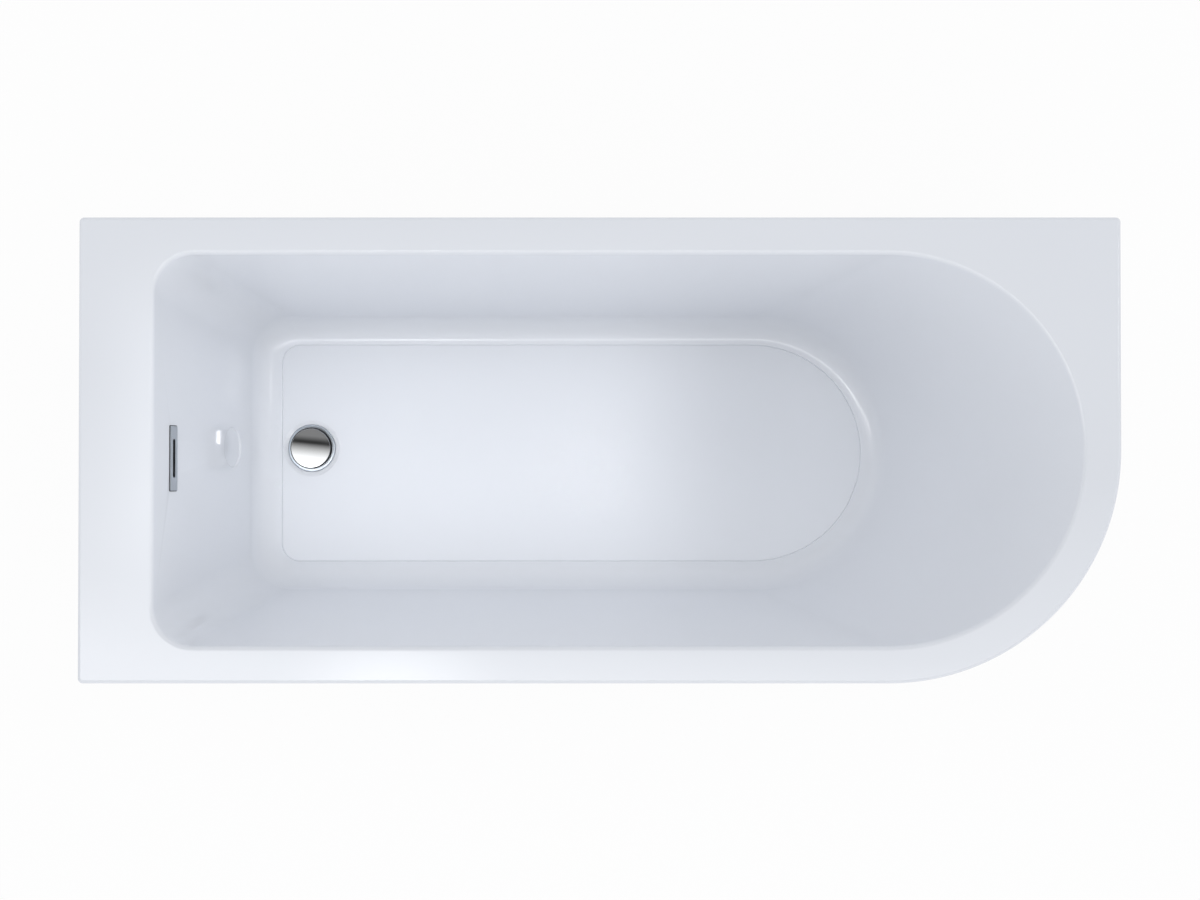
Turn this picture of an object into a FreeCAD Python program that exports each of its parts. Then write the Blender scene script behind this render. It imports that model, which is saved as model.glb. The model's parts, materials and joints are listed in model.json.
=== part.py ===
"""A corner bathtub with one rounded corner, standing on six adjustable feet.

Sizes are in millimetres. The origin is on the floor under the middle of the bath. +X runs from the
tap end to the backrest, +Y to the back wall and +Z up. The two walls of the room meet at -X, +Y.
"""

import FreeCAD
import Part
import Sketcher
import math
import os
import re

Vector = FreeCAD.Vector
TOUCHING = 1e-3

# The driving sizes, each a cell of the sheet with an alias
SIZES = {
    # Overall form
    "bath_length": 1700,
    "bath_width": 760,
    "bath_height": 580,
    "corner_radius": 380,
    "square_corner_radius": 8,
    "rim_width": 60,
    "deck_width": 122,
    # Tub inside, from the rim down
    "inner_depth": 420,
    "tap_end_lean": 98,
    "side_lean": 77,
    "backrest_lean": 279,
    "opening_corner_radius": 65,
    "floor_corner_radius": 74,
    "floor_fillet": 50,
    "floor_panel_depth": 2,
    "floor_panel_margin": 40,
    "floor_panel_corner": 35,
    # Acrylic sheet and its laminate
    "shell_wall": 6,
    "lip_depth": 30,
    "rim_inner_round": 8,
    "rim_outer_round": 6,
    "bond_gap": 0.8,
    "backing_wall": 4,
    "backing_drop": 70,
    "backing_waste_radius": 64,
    "backing_overflow_margin": 14,
    # Round moulded flat in the tap-end wall
    "flat_radius": 36,
    "flat_drop": 301,
    "flat_offset": 9,
    "flat_recess_top": 0.4,
    "flat_recess_foot": 2.8,
    # Boards bonded under the tub and rim
    "board_thickness": 16,
    "board_left_gap": 69,
    "board_head_margin": 75,
    "board_side_margin": 55,
    "board_corner_radius": 40,
    "batten_clearance": 6,
    "batten_inset": 4,
    "batten_end_gap": 18,
    "deck_board_length": 560,
    "gusset_side": 230,
    # Apron
    "apron_wall": 6,
    "apron_gap": 2,
    "apron_taper": 22,
    "apron_floor_gap": 5,
    "apron_flange": 22,
    "plinth_height": 34,
    "plinth_thickness": 14,
    "plinth_end_gap": 48,
    # Legs
    "channel_end_gap": 36,
    "channel_width": 40,
    "channel_height": 25,
    "channel_sheet": 2,
    "channel_overhang": 25,
    "leg_inset": 90,
    "rod_radius": 6,
    "rod_clearance": 0.4,
    "rod_above_nut": 34,
    "nut_flats": 19,
    "nut_height": 10,
    "washer_radius": 12,
    "washer_thickness": 2,
    "pad_radius": 25,
    "pad_height": 20,
    "pad_base": 5,
    "pad_edge": 1,
    "pad_neck_radius": 11,
    "pad_flare": 2,
    "pad_flare_height": 4,
    "pad_socket_depth": 13,
    "pad_socket_clearance": 0.1,
    "channel_screw_spread": 70,
    "channel_screw_radius": 2.5,
    "channel_screw_length": 12,
    "screw_head_share": 2,
    "screw_face_share": 1.4,
    # Wall brackets
    "bracket_width": 64,
    "bracket_sheet": 3,
    "bracket_reach": 45,
    "bracket_drop": 48,
    "bracket_hole_radius": 3.25,
    "bracket_hole_spacing": 40,
    "bracket_hole_drop": 28,
    "bracket_screw_back": 26,
    "bracket_screw_spacing": 30,
    "bracket_screw_radius": 2.2,
    "bracket_screw_length": 16,
    # Waste and plug
    "drain_gap": 95,
    "drain_offset": 9,
    "dish_radius": 51,
    "dish_slope": 5,
    "dish_depth": 5,
    "boss_rim": 6,
    "waste_hole_radius": 27,
    "gasket_thickness": 2,
    "gasket_set_in": 1,
    "flange_radius": 43,
    "flange_thickness": 3,
    "flange_edge": 1.2,
    "seat_radius": 34,
    "seat_slope": 3,
    "seat_depth": 1.6,
    "waste_tube_radius": 25,
    "waste_tube_wall": 3.5,
    "waste_tube_length": 50,
    "tube_mouth": 2,
    "spider_drop": 20,
    "spider_height": 10,
    "spider_arm": 3,
    "spider_bite": 1,
    "hub_radius": 11,
    "hub_bore_radius": 8.3,
    "washer_rubber": 3,
    "waste_body_flange_radius": 38,
    "waste_body_flange": 6,
    "waste_body_radius": 32,
    "waste_body_wall": 3.5,
    "waste_body_depth": 46,
    "thread_clearance": 0.3,
    "thread_grip": 14,
    "chamber_shoulder": 3,
    "sump_height": 10,
    "sump_floor": 2,
    "sump_foot": 6,
    "outlet_radius": 23.9,
    "outlet_wall": 3.4,
    "outlet_length": 22,
    "plug_radius": 37,
    "plug_under_edge": 1,
    "plug_edge": 3,
    "plug_crown": 2.6,
    "plug_travel": 9,
    "plug_shut_gap": 1,
    "plug_gasket_radius": 29.8,
    "plug_gasket_width": 6,
    "plug_seal_clearance": 0.4,
    "stem_radius": 5,
    "stem_screw_radius": 4,
    "stem_clearance": 0.25,
    "stem_tip_gap": 0.2,
    "cartridge_radius": 8,
    "cartridge_collar": 3,
    "cartridge_collar_radius": 10.5,
    "cartridge_above": 8,
    "cartridge_depth": 27,
    "cartridge_floor": 3,
    "stem_in_cartridge": 14,
    # Overflow
    "overflow_drop": 71,
    "overflow_offset": -13,
    "overflow_length": 108,
    "overflow_height": 32,
    "overflow_plate": 3,
    "overflow_edge": 1,
    "overflow_slot_length": 65,
    "overflow_slot_height": 7,
    "overflow_neck_wall": 2,
    "overflow_neck_length": 16,
    "overflow_hole_clearance": 1,
    "overflow_seal": 2,
    "overflow_body_length": 104,
    "overflow_body_height": 46,
    "overflow_body_depth": 38,
    "overflow_body_wall": 2.5,
    "overflow_body_corner": 3,
    "overflow_spigot_back": 27,
    "overflow_spigot_length": 34,
    # Overflow hose
    "spigot_radius": 12.5,
    "spigot_wall": 2,
    "hose_clearance": 0.3,
    "hose_wall": 1.2,
    "hose_rib_height": 2,
    "hose_rib_pitch": 14,
    "hose_rib_foot_share": 0.1,
    "hose_rib_top_share": 0.3,
    "hose_bend_radius": 85,
    "hose_overlap": 18,
    "inlet_length": 26,
    "inlet_drop": 30,
    "inlet_overrun": 6,
    "hose_nut_radius": 21,
    "hose_nut_length": 16,
    "hose_nut_grips": 12,
    "hose_nut_grip_radius": 2,
    # How far a cut passes through a face
    "overshoot": 1,
}

# Places and sizes that follow from the driving ones
PLACES = {
    "left": "-bath_length / 2",
    "right": "bath_length / 2",
    "back": "bath_width / 2",
    "front": "-bath_width / 2",
    "lip_z": "bath_height - lip_depth",
    "under_rim_z": "bath_height - shell_wall",
    "opening_left": "left + deck_width",
    "opening_right": "right - rim_width",
    "opening_half": "back - rim_width",
    "opening_end_x": "opening_right - opening_half",
    "floor_z": "bath_height - inner_depth",
    "panel_z": "floor_z - floor_panel_depth",
    "shell_under_z": "floor_z - shell_wall",
    "backing_top_z": "bath_height - backing_drop",
    "backing_inner": "shell_wall + bond_gap",
    "backing_outer": "backing_inner + backing_wall",
    "backing_under_z": "floor_z - backing_outer",
    "wall_tilt": "atan(tap_end_lean / inner_depth)",
    "drain_x": "opening_left + tap_end_lean + drain_gap",
    # Base board and legs
    "board_top_z": "backing_under_z",
    "board_under_z": "board_top_z - board_thickness",
    "board_left": "drain_x + board_left_gap",
    "board_right": "opening_right - backrest_lean - board_head_margin",
    "board_half": "opening_half - side_lean - board_side_margin",
    "channel_middle": "(board_left + board_right) / 2",
    "channel_spacing": "(board_right - board_left) / 2 - channel_end_gap",
    "leg_spread": "back - leg_inset",
    "channel_under_z": "board_under_z - channel_height",
    "web_under_z": "board_under_z - channel_sheet",
    "rod_hole_radius": "rod_radius + rod_clearance",
    "rod_top_z": "board_under_z + washer_thickness + nut_height + rod_above_nut",
    "rod_bottom_z": "pad_height - pad_socket_depth",
    # Boards under the rim
    "batten_height": "lip_depth - shell_wall",
    "batten_length": "opening_end_x - opening_left - batten_end_gap",
    "plinth_length": "opening_end_x - opening_left - plinth_end_gap",
    "bracket_spread": "opening_left + batten_length - bracket_width / 2",
    "batten_inner": "opening_half + shell_wall + batten_clearance",
    "apron_set_back": "shell_wall + apron_gap",
    "apron_inner": "back - apron_set_back - apron_wall",
    "apron_end_inner": "right - apron_set_back - apron_wall - batten_inset",
    # Waste
    "dish_z": "panel_z - dish_depth",
    "boss_under_z": "dish_z - shell_wall",
    "flange_under_z": "dish_z + gasket_thickness",
    "flange_top_z": "flange_under_z + flange_thickness",
    "tube_bore_radius": "waste_tube_radius - waste_tube_wall",
    "tube_end_z": "flange_under_z - waste_tube_length",
    "spider_top_z": "flange_top_z - spider_drop",
    "spider_under_z": "spider_top_z - spider_height",
    "waste_body_top_z": "boss_under_z - washer_rubber",
    "waste_body_under_z": "waste_body_top_z - waste_body_depth",
    "body_bore_radius": "waste_tube_radius + thread_clearance",
    "chamber_radius": "waste_body_radius - waste_body_wall",
    "chamber_top_z": "waste_body_top_z - thread_grip",
    "outlet_end_z": "waste_body_under_z - outlet_length",
    "outlet_bore_radius": "outlet_radius - outlet_wall",
    "inlet_z": "waste_body_top_z - inlet_drop",
    # Plug, drawn open
    "plug_under_z": "flange_top_z + plug_shut_gap + plug_travel",
    "plug_edge_z": "plug_under_z + plug_edge",
    "plug_top_z": "plug_edge_z + plug_crown",
    "plug_ball_radius": "(plug_radius * plug_radius + plug_crown * plug_crown) / (2 * plug_crown)",
    "plug_gasket_height": "plug_shut_gap + seat_depth - plug_seal_clearance",
    "cartridge_under_z": "spider_top_z - cartridge_depth",
    "cartridge_top_z": "spider_top_z + cartridge_above",
    "cartridge_bore_radius": "stem_radius + stem_clearance",
    "cartridge_bore_z": "cartridge_under_z + cartridge_floor",
    "stem_bottom_z": "cartridge_top_z - stem_in_cartridge",
    # Overflow, on the leaning tap-end wall
    "overflow_x": "opening_left + tap_end_lean * overflow_drop / inner_depth",
    "overflow_z": "bath_height - overflow_drop",
    "wall_behind": "shell_wall * cos(wall_tilt)",
    "neck_length_outer": "overflow_slot_length + 2 * overflow_neck_wall",
    "neck_height_outer": "overflow_slot_height + 2 * overflow_neck_wall",
    "overflow_body_front": "wall_behind + overflow_seal",
    # Hose, in the upright plane through the waste and the overflow spigot
    "hose_x": "overflow_x - overflow_spigot_back",
    "hose_run": "drain_x - hose_x",
    "hose_turn": "atan((drain_offset - overflow_offset) / hose_run)",
    "hose_reach": "hose_run / cos(hose_turn)",
    "spigot_end_z": "overflow_z - overflow_body_height / 2 - overflow_spigot_length",
    "hose_top_z": "spigot_end_z + hose_overlap",
    "hose_bore_radius": "spigot_radius + hose_clearance",
    "inlet_end": "waste_body_radius + inlet_length",
}

FOOT_NAMES = {(-1, -1): "tap_front", (-1, 1): "tap_back", (0, -1): "middle_front",
              (0, 1): "middle_back", (1, -1): "head_front", (1, 1): "head_back"}

doc = FreeCAD.newDocument("corner_bath")
sheet = doc.addObject("Spreadsheet::Sheet", "Sizes")
for row, (alias, size) in enumerate(SIZES.items(), start=1):
    sheet.set(f"A{row}", alias)
    sheet.set(f"B{row}", str(size))
    sheet.setAlias(f"B{row}", alias)
doc.recompute()
sub_parts = []


def expression(formula):
    """A formula in the names of SIZES and PLACES, written as an expression on the sheet."""
    def spell(match):
        name = match.group(0)
        if name in SIZES:
            return "Sizes." + name
        if name in PLACES:
            return "(" + expression(PLACES[name]) + ")"
        return name
    return re.sub(r"[a-z][a-z_]*", spell, str(formula))


def number(formula):
    """The present value of a formula."""
    found = sheet.evalExpression(expression(formula))
    return float(getattr(found, "Value", found))


def bind(thing, **formulas):
    """Ties properties of an object to formulas."""
    for name, formula in formulas.items():
        thing.setExpression(name, expression(formula))
    return thing


def place(thing, x="0", y="0", z="0", axis=(0, 0, 1), angle="0 deg"):
    """Ties an object's position, and its turn about an axis, to formulas."""
    spot = "; ".join(expression(formula) for formula in (x, y, z))
    line = "; ".join(str(part) for part in axis)
    turned = f"rotation(vector({line}); {expression(angle)})"
    thing.setExpression("Placement", f"placement(vector({spot}); {turned})")
    return thing


def on_wall(thing, drop, offset, out="0", tip="0 deg"):
    """Sets an object on the leaning tap-end wall. Its own Z points into the tub and its X down the wall."""
    return place(
        thing,
        f"opening_left + tap_end_lean * ({drop}) / inner_depth + ({out}) * cos(wall_tilt)",
        offset,
        f"bath_height - ({drop}) + ({out}) * sin(wall_tilt)",
        (0, 1, 0), f"90 deg - wall_tilt + ({tip})",
    )


def keep(thing, label):
    """Names an object as a sub-part that is written out."""
    thing.Label = label
    sub_parts.append(thing)
    return thing


# Solids


def box(name, x, y, z, length, width, height):
    """A block from its lowest corner."""
    block = bind(doc.addObject("Part::Box", name), Length=length, Width=width, Height=height)
    return place(block, x, y, z)


def cylinder(name, x, y, z, radius, height, axis=(0, 0, 1), angle="0 deg"):
    """A cylinder from the middle of its lower end, upright or turned about an axis."""
    round_bar = bind(doc.addObject("Part::Cylinder", name), Radius=radius, Height=height)
    return place(round_bar, x, y, z, axis, angle)


def fuse(name, *pieces):
    """Several solids as one."""
    joined = doc.addObject("Part::MultiFuse", name)
    joined.Shapes = list(pieces)
    return joined


def cut(name, base, *tools):
    """A solid with others cut away."""
    result = doc.addObject("Part::Cut", name)
    result.Base = base
    result.Tool = tools[0] if len(tools) == 1 else fuse(name + "_tools", *tools)
    return result


def group(name, pieces):
    """Separate solids in one object."""
    together = doc.addObject("Part::Compound", name)
    together.Links = list(pieces)
    return together


# Bodies and sketches


def new_body(name):
    return doc.addObject("PartDesign::Body", name)


def sketch_in(body, name, plane="XY_Plane", height="0"):
    """An empty sketch on one of a body's own planes, or at a height above it."""
    sketch = body.newObject("Sketcher::SketchObject", name)
    sketch.AttachmentSupport = [(next(f for f in body.Origin.OriginFeatures if f.Role == plane), "")]
    sketch.MapMode = "FlatFace"
    sketch.setExpression("AttachmentOffset.Base.z", expression(height))
    return sketch


def dimension(sketch, kind, formula, *where):
    """Adds a dimension that follows a formula."""
    index = sketch.addConstraint(Sketcher.Constraint(kind, *where, number(formula)))
    sketch.setExpression(f"Constraints[{index}]", expression(formula))


def pin_point(sketch, geometry, point, x, y):
    """Dimensions one point of a sketch from its origin."""
    dimension(sketch, "DistanceX", x, -1, 1, geometry, point)
    dimension(sketch, "DistanceY", y, -1, 1, geometry, point)


def polygon(sketch, corners):
    """Draws a closed outline of straight lines through corners given as pairs of formulas."""
    points = [Vector(number(x), number(y), 0) for x, y in corners]
    last = len(points) - 1
    for here, there in zip(points, points[1:] + points[:1]):
        sketch.addGeometry(Part.LineSegment(here, there))
    for index, (x, y) in enumerate(corners):
        before = index - 1 if index else last
        sketch.addConstraint(Sketcher.Constraint("Coincident", before, 2, index, 1))
        pin_point(sketch, index, 1, x, y)
    return sketch


def outline(sketch, corners):
    """Draws a closed outline of level and upright lines.

    A corner is a pair of formulas, with a third for the radius where the corner is a quarter circle."""
    count = len(corners)
    points = [Vector(number(c[0]), number(c[1]), 0) for c in corners]
    ends = []
    for index, corner in enumerate(corners):
        into = (points[index] - points[index - 1]).normalize()
        out = (points[(index + 1) % count] - points[index]).normalize()
        if len(corner) == 2:
            ends.append((None, points[index], points[index]))
            continue
        radius = number(corner[2])
        centre = points[index] + (out - into) * radius
        begin = points[index] - into * radius
        finish = points[index] + out * radius
        left_turn = into.cross(out).z > 0
        first, second = (begin, finish) if left_turn else (finish, begin)
        angles = [math.atan2(p.y - centre.y, p.x - centre.x) for p in (first, second)]
        circle = Part.Circle(centre, Vector(0, 0, 1), radius)
        arc = sketch.addGeometry(Part.ArcOfCircle(circle, angles[0], angles[1]))
        pin_point(sketch, arc, 3, f"({corner[0]}) + ({corner[2]}) * ({round(out.x - into.x)})",
                  f"({corner[1]}) + ({corner[2]}) * ({round(out.y - into.y)})")
        dimension(sketch, "Radius", corner[2], arc)
        begin_point, finish_point = (1, 2) if left_turn else (2, 1)
        ways = ("Horizontal", "Vertical") if abs(out.x) > abs(out.y) else ("Vertical", "Horizontal")
        for way, point in zip(ways, (begin_point, finish_point)):
            sketch.addConstraint(Sketcher.Constraint(way, arc, 3, arc, point))
        ends.append((arc, begin, finish, begin_point, finish_point))
    lines = {}
    for index in range(count):
        start, stop = ends[index][2], ends[(index + 1) % count][1]
        if (stop - start).Length > TOUCHING:
            lines[index] = sketch.addGeometry(Part.LineSegment(start, stop))
    for index, end in enumerate(ends):
        arriving, leaving = lines.get((index - 1) % count), lines.get(index)
        if end[0] is None:
            sketch.addConstraint(Sketcher.Constraint("Coincident", arriving, 2, leaving, 1))
            pin_point(sketch, leaving, 1, corners[index][0], corners[index][1])
            continue
        if arriving is not None:
            sketch.addConstraint(Sketcher.Constraint("Coincident", arriving, 2, end[0], end[3]))
        if leaving is not None:
            sketch.addConstraint(Sketcher.Constraint("Coincident", leaving, 1, end[0], end[4]))
    return sketch


def rectangle_corners(x_low, x_high, y_low, y_high, *radius):
    """The corners of a rectangle, anticlockwise, with one radius for all of them if it is given."""
    corners = ((x_low, y_low), (x_high, y_low), (x_high, y_high), (x_low, y_high))
    return [(x, y, *radius) for x, y in corners]


def slot_corners(length, height):
    """The corners of a slot with round ends, lying along Y about the origin."""
    across, along = f"({height}) / 2", f"({length}) / 2"
    return rectangle_corners(f"-{across}", across, f"-{along}", along, across)


def round_end_corners(left, right, half, corner):
    """The corners of the tub's outline in plan: two rounded at the tap end, a half circle at the other."""
    return [(left, f"-({half})", corner), (right, f"-({half})", half),
            (right, half, half), (left, half, corner)]


def bowl_corners(z, offset):
    """The tub's outline in plan at a height, moved out from the inside face by an offset."""
    share = f"(bath_height - ({z})) / inner_depth"
    return round_end_corners(
        f"opening_left + tap_end_lean * {share} - ({offset})",
        f"opening_right - backrest_lean * {share} + ({offset})",
        f"opening_half - side_lean * {share} + ({offset})",
        f"opening_corner_radius * (1 - {share}) + floor_corner_radius * {share} + ({offset})",
    )


def rim_corners(inset):
    """The rim's outline in plan: a rectangle with a wide quarter circle at the room's corner."""
    small = f"square_corner_radius - {inset} / 2"
    return [(f"left + {inset}", f"front + {inset}", small),
            (f"right - {inset}", f"front + {inset}", f"corner_radius - {inset}"),
            (f"right - {inset}", f"back - {inset}", small), (f"left + {inset}", f"back - {inset}", small)]


def strip_corners(set_back, thickness):
    """The apron's section in plan: a strip along the front, round the corner and along the backrest end."""
    inner = f"{set_back} + {thickness}"
    start, stop = "left + apron_set_back", "back - apron_set_back"
    return [(start, f"front + {set_back}"),
            (f"right - ({set_back})", f"front + {set_back}", f"corner_radius - ({set_back})"),
            (f"right - ({set_back})", stop), (f"right - ({inner})", stop),
            (f"right - ({inner})", f"front + {inner}", f"corner_radius - ({inner})"),
            (start, f"front + {inner}")]


def extrude(body, kind, sketch, length, reverse=False):
    """Pads or pockets a sketch."""
    feature = body.newObject("PartDesign::" + kind, sketch.Name + "_" + kind.lower())
    feature.Profile = sketch
    feature.Reversed = reverse
    return bind(feature, Length=length)


def loft(body, kind, top, bottom):
    """Joins two sketches by straight rulings."""
    feature = body.newObject("PartDesign::" + kind, top.Name + "_loft")
    feature.Profile = top
    feature.Sections = [bottom]
    feature.Ruled = True
    return feature


def revolve(body, sketch):
    """Turns a sketch right round the upright axis."""
    feature = body.newObject("PartDesign::Revolution", sketch.Name + "_turned")
    feature.Profile = sketch
    feature.ReferenceAxis = (sketch, ["V_Axis"])
    feature.Angle = 360
    return feature


def fillet(body, base, wanted, radius):
    """Rounds those edges of a feature that pass a test."""
    doc.recompute()
    names = [f"Edge{k}" for k, edge in enumerate(base.Shape.Edges, start=1) if wanted(edge)]
    feature = body.newObject("PartDesign::Fillet", base.Name + "_round")
    feature.Base = (base, names)
    return bind(feature, Radius=radius)


def level_at(formula):
    """A test for edges that lie level at a height."""
    height = number(formula)
    return lambda edge: all(abs(p.z - height) < TOUCHING for p in edge.discretize(5))


def turned_body(name, corners, x="0", y="0"):
    """A round body from its half section, given as pairs of radius and height."""
    body = new_body(name)
    revolve(body, polygon(sketch_in(body, name + "_section", "XZ_Plane"), corners))
    return place(body, x, y)


# Tub


def bowl(name, top_z, bottom_z, offset):
    """A solid that fills the tub's form, moved out from the inside face by an offset, its foot rounded."""
    body = new_body(name)
    top = sketch_in(body, name + "_top", height=top_z)
    outline(top, bowl_corners(top_z, offset))
    bottom = sketch_in(body, name + "_bottom", height=bottom_z)
    outline(bottom, bowl_corners(bottom_z, offset))
    fillet(body, loft(body, "AdditiveLoft", top, bottom), level_at(bottom_z), f"floor_fillet + {offset}")
    return body


def rim_plate():
    """The flat rim with its turned-down lip, still closed over the tub."""
    body = new_body("rim_plate")
    plan = outline(sketch_in(body, "rim_plan", height="lip_z"), rim_corners("0"))
    block = extrude(body, "Pad", plan, "lip_depth")
    fillet(body, block, level_at("bath_height"), "rim_outer_round")
    inside = outline(sketch_in(body, "lip_plan", height="lip_z"), rim_corners("shell_wall"))
    extrude(body, "Pocket", inside, "lip_depth - shell_wall", reverse=True)
    return body


def floor_panel():
    """The shallow step in the floor, with a half-round end like the tub's."""
    body = new_body("floor_panel")
    margin = "floor_panel_margin"
    plan = sketch_in(body, "floor_panel_plan", height="panel_z")
    outline(plan, round_end_corners(f"opening_left + tap_end_lean + {margin}",
                                    f"opening_right - backrest_lean - {margin} / 2",
                                    f"opening_half - side_lean - {margin}", "floor_panel_corner"))
    extrude(body, "Pad", plan, "floor_panel_depth + overshoot")
    return body


def overflow_hole(clearance, depth):
    """A slot through the tap-end wall for the overflow's neck."""
    body = new_body("overflow_hole")
    slot = sketch_in(body, "overflow_hole_slot", height=f"-({depth})")
    outline(slot, slot_corners(f"neck_length_outer + 2 * {clearance}",
                               f"neck_height_outer + 2 * {clearance}"))
    extrude(body, "Pad", slot, f"({depth}) + overflow_plate")
    return on_wall(body, "overflow_drop", "overflow_offset")


def bath_shell():
    tub = bowl("tub_outside", "bath_height", "shell_under_z", "shell_wall")
    boss = cylinder("waste_boss", "drain_x", "drain_offset", "boss_under_z", "dish_radius + boss_rim",
                    "shell_under_z - boss_under_z + overshoot")
    dish = turned_body("waste_dish", [
        ("0", "dish_z"), ("dish_radius - dish_slope", "dish_z"), ("dish_radius", "panel_z"),
        ("dish_radius", "floor_z"), ("0", "floor_z")], "drain_x", "drain_offset")
    hole = cylinder("waste_hole", "drain_x", "drain_offset", "boss_under_z - overshoot", "waste_hole_radius",
                    "shell_wall + 2 * overshoot")
    flat = cylinder("moulded_flat", "0", "0", "0", "flat_radius", "flat_radius")
    on_wall(flat, "flat_drop", "flat_offset", "-(flat_recess_top + flat_recess_foot) / 2",
            "asin((flat_recess_foot - flat_recess_top) / (2 * flat_radius))")
    blank = cut("open_tub", fuse("tub_and_rim", rim_plate(), tub, boss),
                bowl("tub_inside", "bath_height", "floor_z", "0"), floor_panel())
    pierced = cut("pierced_tub", blank, dish, hole, flat,
                  overflow_hole("overflow_hole_clearance", "3 * shell_wall"))
    doc.recompute()
    inner = opening_edges(pierced.Shape)
    shell = doc.addObject("Part::Fillet", "bath_shell")
    shell.Base = pierced
    radius = number("rim_inner_round")
    shell.Edges = [(index, radius, radius) for index in inner]
    return shell


def opening_edges(shape):
    """The numbers of the edges round the tub's opening at the rim."""
    height = number("bath_height")
    left, right, half = (number(name) for name in ("opening_left", "opening_right", "opening_half"))
    found = []
    for index, edge in enumerate(shape.Edges, start=1):
        points = edge.discretize(5)
        level = all(abs(p.z - height) < TOUCHING for p in points)
        across = all(left - TOUCHING < p.x < right + TOUCHING for p in points)
        if level and across and all(abs(p.y) < half + TOUCHING for p in points):
            found.append(index)
    return found


def fibreglass_backing():
    outside = bowl("backing_outside", "backing_top_z", "backing_under_z", "backing_outer")
    inside = bowl("backing_inside", "backing_top_z", "floor_z - backing_inner", "backing_inner")
    waste = cylinder("backing_waste", "drain_x", "drain_offset", "backing_under_z - overshoot",
                     "backing_waste_radius", "backing_outer + floor_fillet")
    overflow = new_body("backing_overflow")
    plan = sketch_in(overflow, "backing_overflow_plan", height="-overflow_body_depth")
    half_height = "overflow_body_height / 2 + backing_overflow_margin"
    half_length = "overflow_body_length / 2 + backing_overflow_margin"
    outline(plan, rectangle_corners(f"-({half_height})", half_height, f"-({half_length})", half_length))
    extrude(overflow, "Pad", plan, "overflow_body_depth")
    on_wall(overflow, "overflow_drop", "overflow_offset")
    return cut("fibreglass_backing", outside, inside, waste, overflow)


# Boards


def base_board():
    body = new_body("base_board")
    plan = sketch_in(body, "base_board_plan", height="board_under_z")
    outline(plan, round_end_corners("board_left", "board_right", "board_half", "board_corner_radius"))
    extrude(body, "Pad", plan, "board_thickness")
    return body


def back_rim_batten():
    return box("back_rim_batten", "opening_left", "batten_inner", "lip_z", "batten_length",
               "back - shell_wall - batten_inset - batten_inner", "batten_height")


def front_rim_batten():
    return box("front_rim_batten", "opening_left", "-(apron_inner - batten_inset)", "lip_z", "batten_length",
               "apron_inner - batten_inset - batten_inner", "batten_height")


def tap_deck_board():
    return box("tap_deck_board", "left + shell_wall + batten_inset", "-deck_board_length / 2", "lip_z",
               "deck_width - 2 * shell_wall - batten_inset - batten_clearance", "deck_board_length",
               "batten_height")


def corner_gusset():
    """The board under the square corner of the rim, cut round the tub."""
    blank = box("gusset_blank", "apron_end_inner - gusset_side",
                "back - shell_wall - batten_inset - gusset_side", "lip_z", "gusset_side", "gusset_side",
                "batten_height")
    tub = cylinder("gusset_tub", "opening_end_x", "0", "lip_z - overshoot", "batten_inner",
                   "batten_height + 2 * overshoot")
    return cut("corner_gusset", blank, tub)


# Apron


def front_apron():
    body = new_body("front_apron")
    foot_set_back = "apron_set_back + apron_taper"
    top = sketch_in(body, "apron_top", height="under_rim_z")
    outline(top, strip_corners("apron_set_back", "apron_wall"))
    foot = sketch_in(body, "apron_foot", height="apron_floor_gap")
    outline(foot, strip_corners(foot_set_back, "apron_wall"))
    loft(body, "AdditiveLoft", top, foot)
    flange = sketch_in(body, "apron_flange_plan", height="apron_floor_gap")
    outline(flange, strip_corners(foot_set_back, "apron_flange + apron_wall"))
    extrude(body, "Pad", flange, "apron_wall")
    return body


def apron_plinth_batten():
    return box("apron_plinth_batten", "opening_left",
               "front + apron_set_back + apron_taper + apron_wall + bond_gap", "apron_floor_gap + apron_wall",
               "plinth_length", "plinth_thickness", "plinth_height")


# Legs


def channel_x(station):
    return f"channel_middle + ({station}) * channel_spacing"


def leg_channel(name, station):
    x = channel_x(station)
    length = "2 * (leg_spread + channel_overhang)"
    y = f"-({length}) / 2"
    blank = box(name + "_blank", f"{x} - channel_width / 2", y, "channel_under_z", "channel_width", length,
                "channel_height")
    hollow = box(name + "_hollow", f"{x} - channel_width / 2 + channel_sheet", f"{y} - overshoot",
                 "channel_under_z - overshoot", "channel_width - 2 * channel_sheet",
                 f"{length} + 2 * overshoot", "channel_height - channel_sheet + overshoot")
    holes = []
    for side in (-1, 1):
        for hole, spread, radius in (("_rod_hole", "leg_spread", "rod_hole_radius"),
                                     ("_screw_hole", "channel_screw_spread", "channel_screw_radius")):
            holes.append(cylinder(name + hole, x, f"{side} * {spread}", "web_under_z - overshoot", radius,
                                  "channel_sheet + 2 * overshoot"))
    return cut(name, blank, hollow, *holes)


def screw(name, radius, length):
    """A pan-head screw pointing up, its head under the plane z = 0."""
    head = f"screw_head_share * {radius}"
    return turned_body(name, [
        ("0", f"-{radius}"), (f"screw_face_share * {radius}", f"-{radius}"), (head, f"-{radius} / 2"),
        (head, "0"), (radius, "0"), (radius, f"{length} - 2 * {radius}"), ("0", length)])


def channel_screws():
    screws = []
    for station in (-1, 0, 1):
        for side in (-1, 1):
            piece = screw("channel_screw", "channel_screw_radius", "channel_screw_length")
            screws.append(place(piece, channel_x(station), f"{side} * channel_screw_spread", "web_under_z"))
    return group("channel_screws", screws)


def nut_heights():
    """The heights of the washers and nuts on one rod: one pair above the channel's web, one below."""
    return {"washer": ("board_under_z", "web_under_z - washer_thickness"),
            "nut": ("board_under_z + washer_thickness", "web_under_z - washer_thickness - nut_height")}


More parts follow.
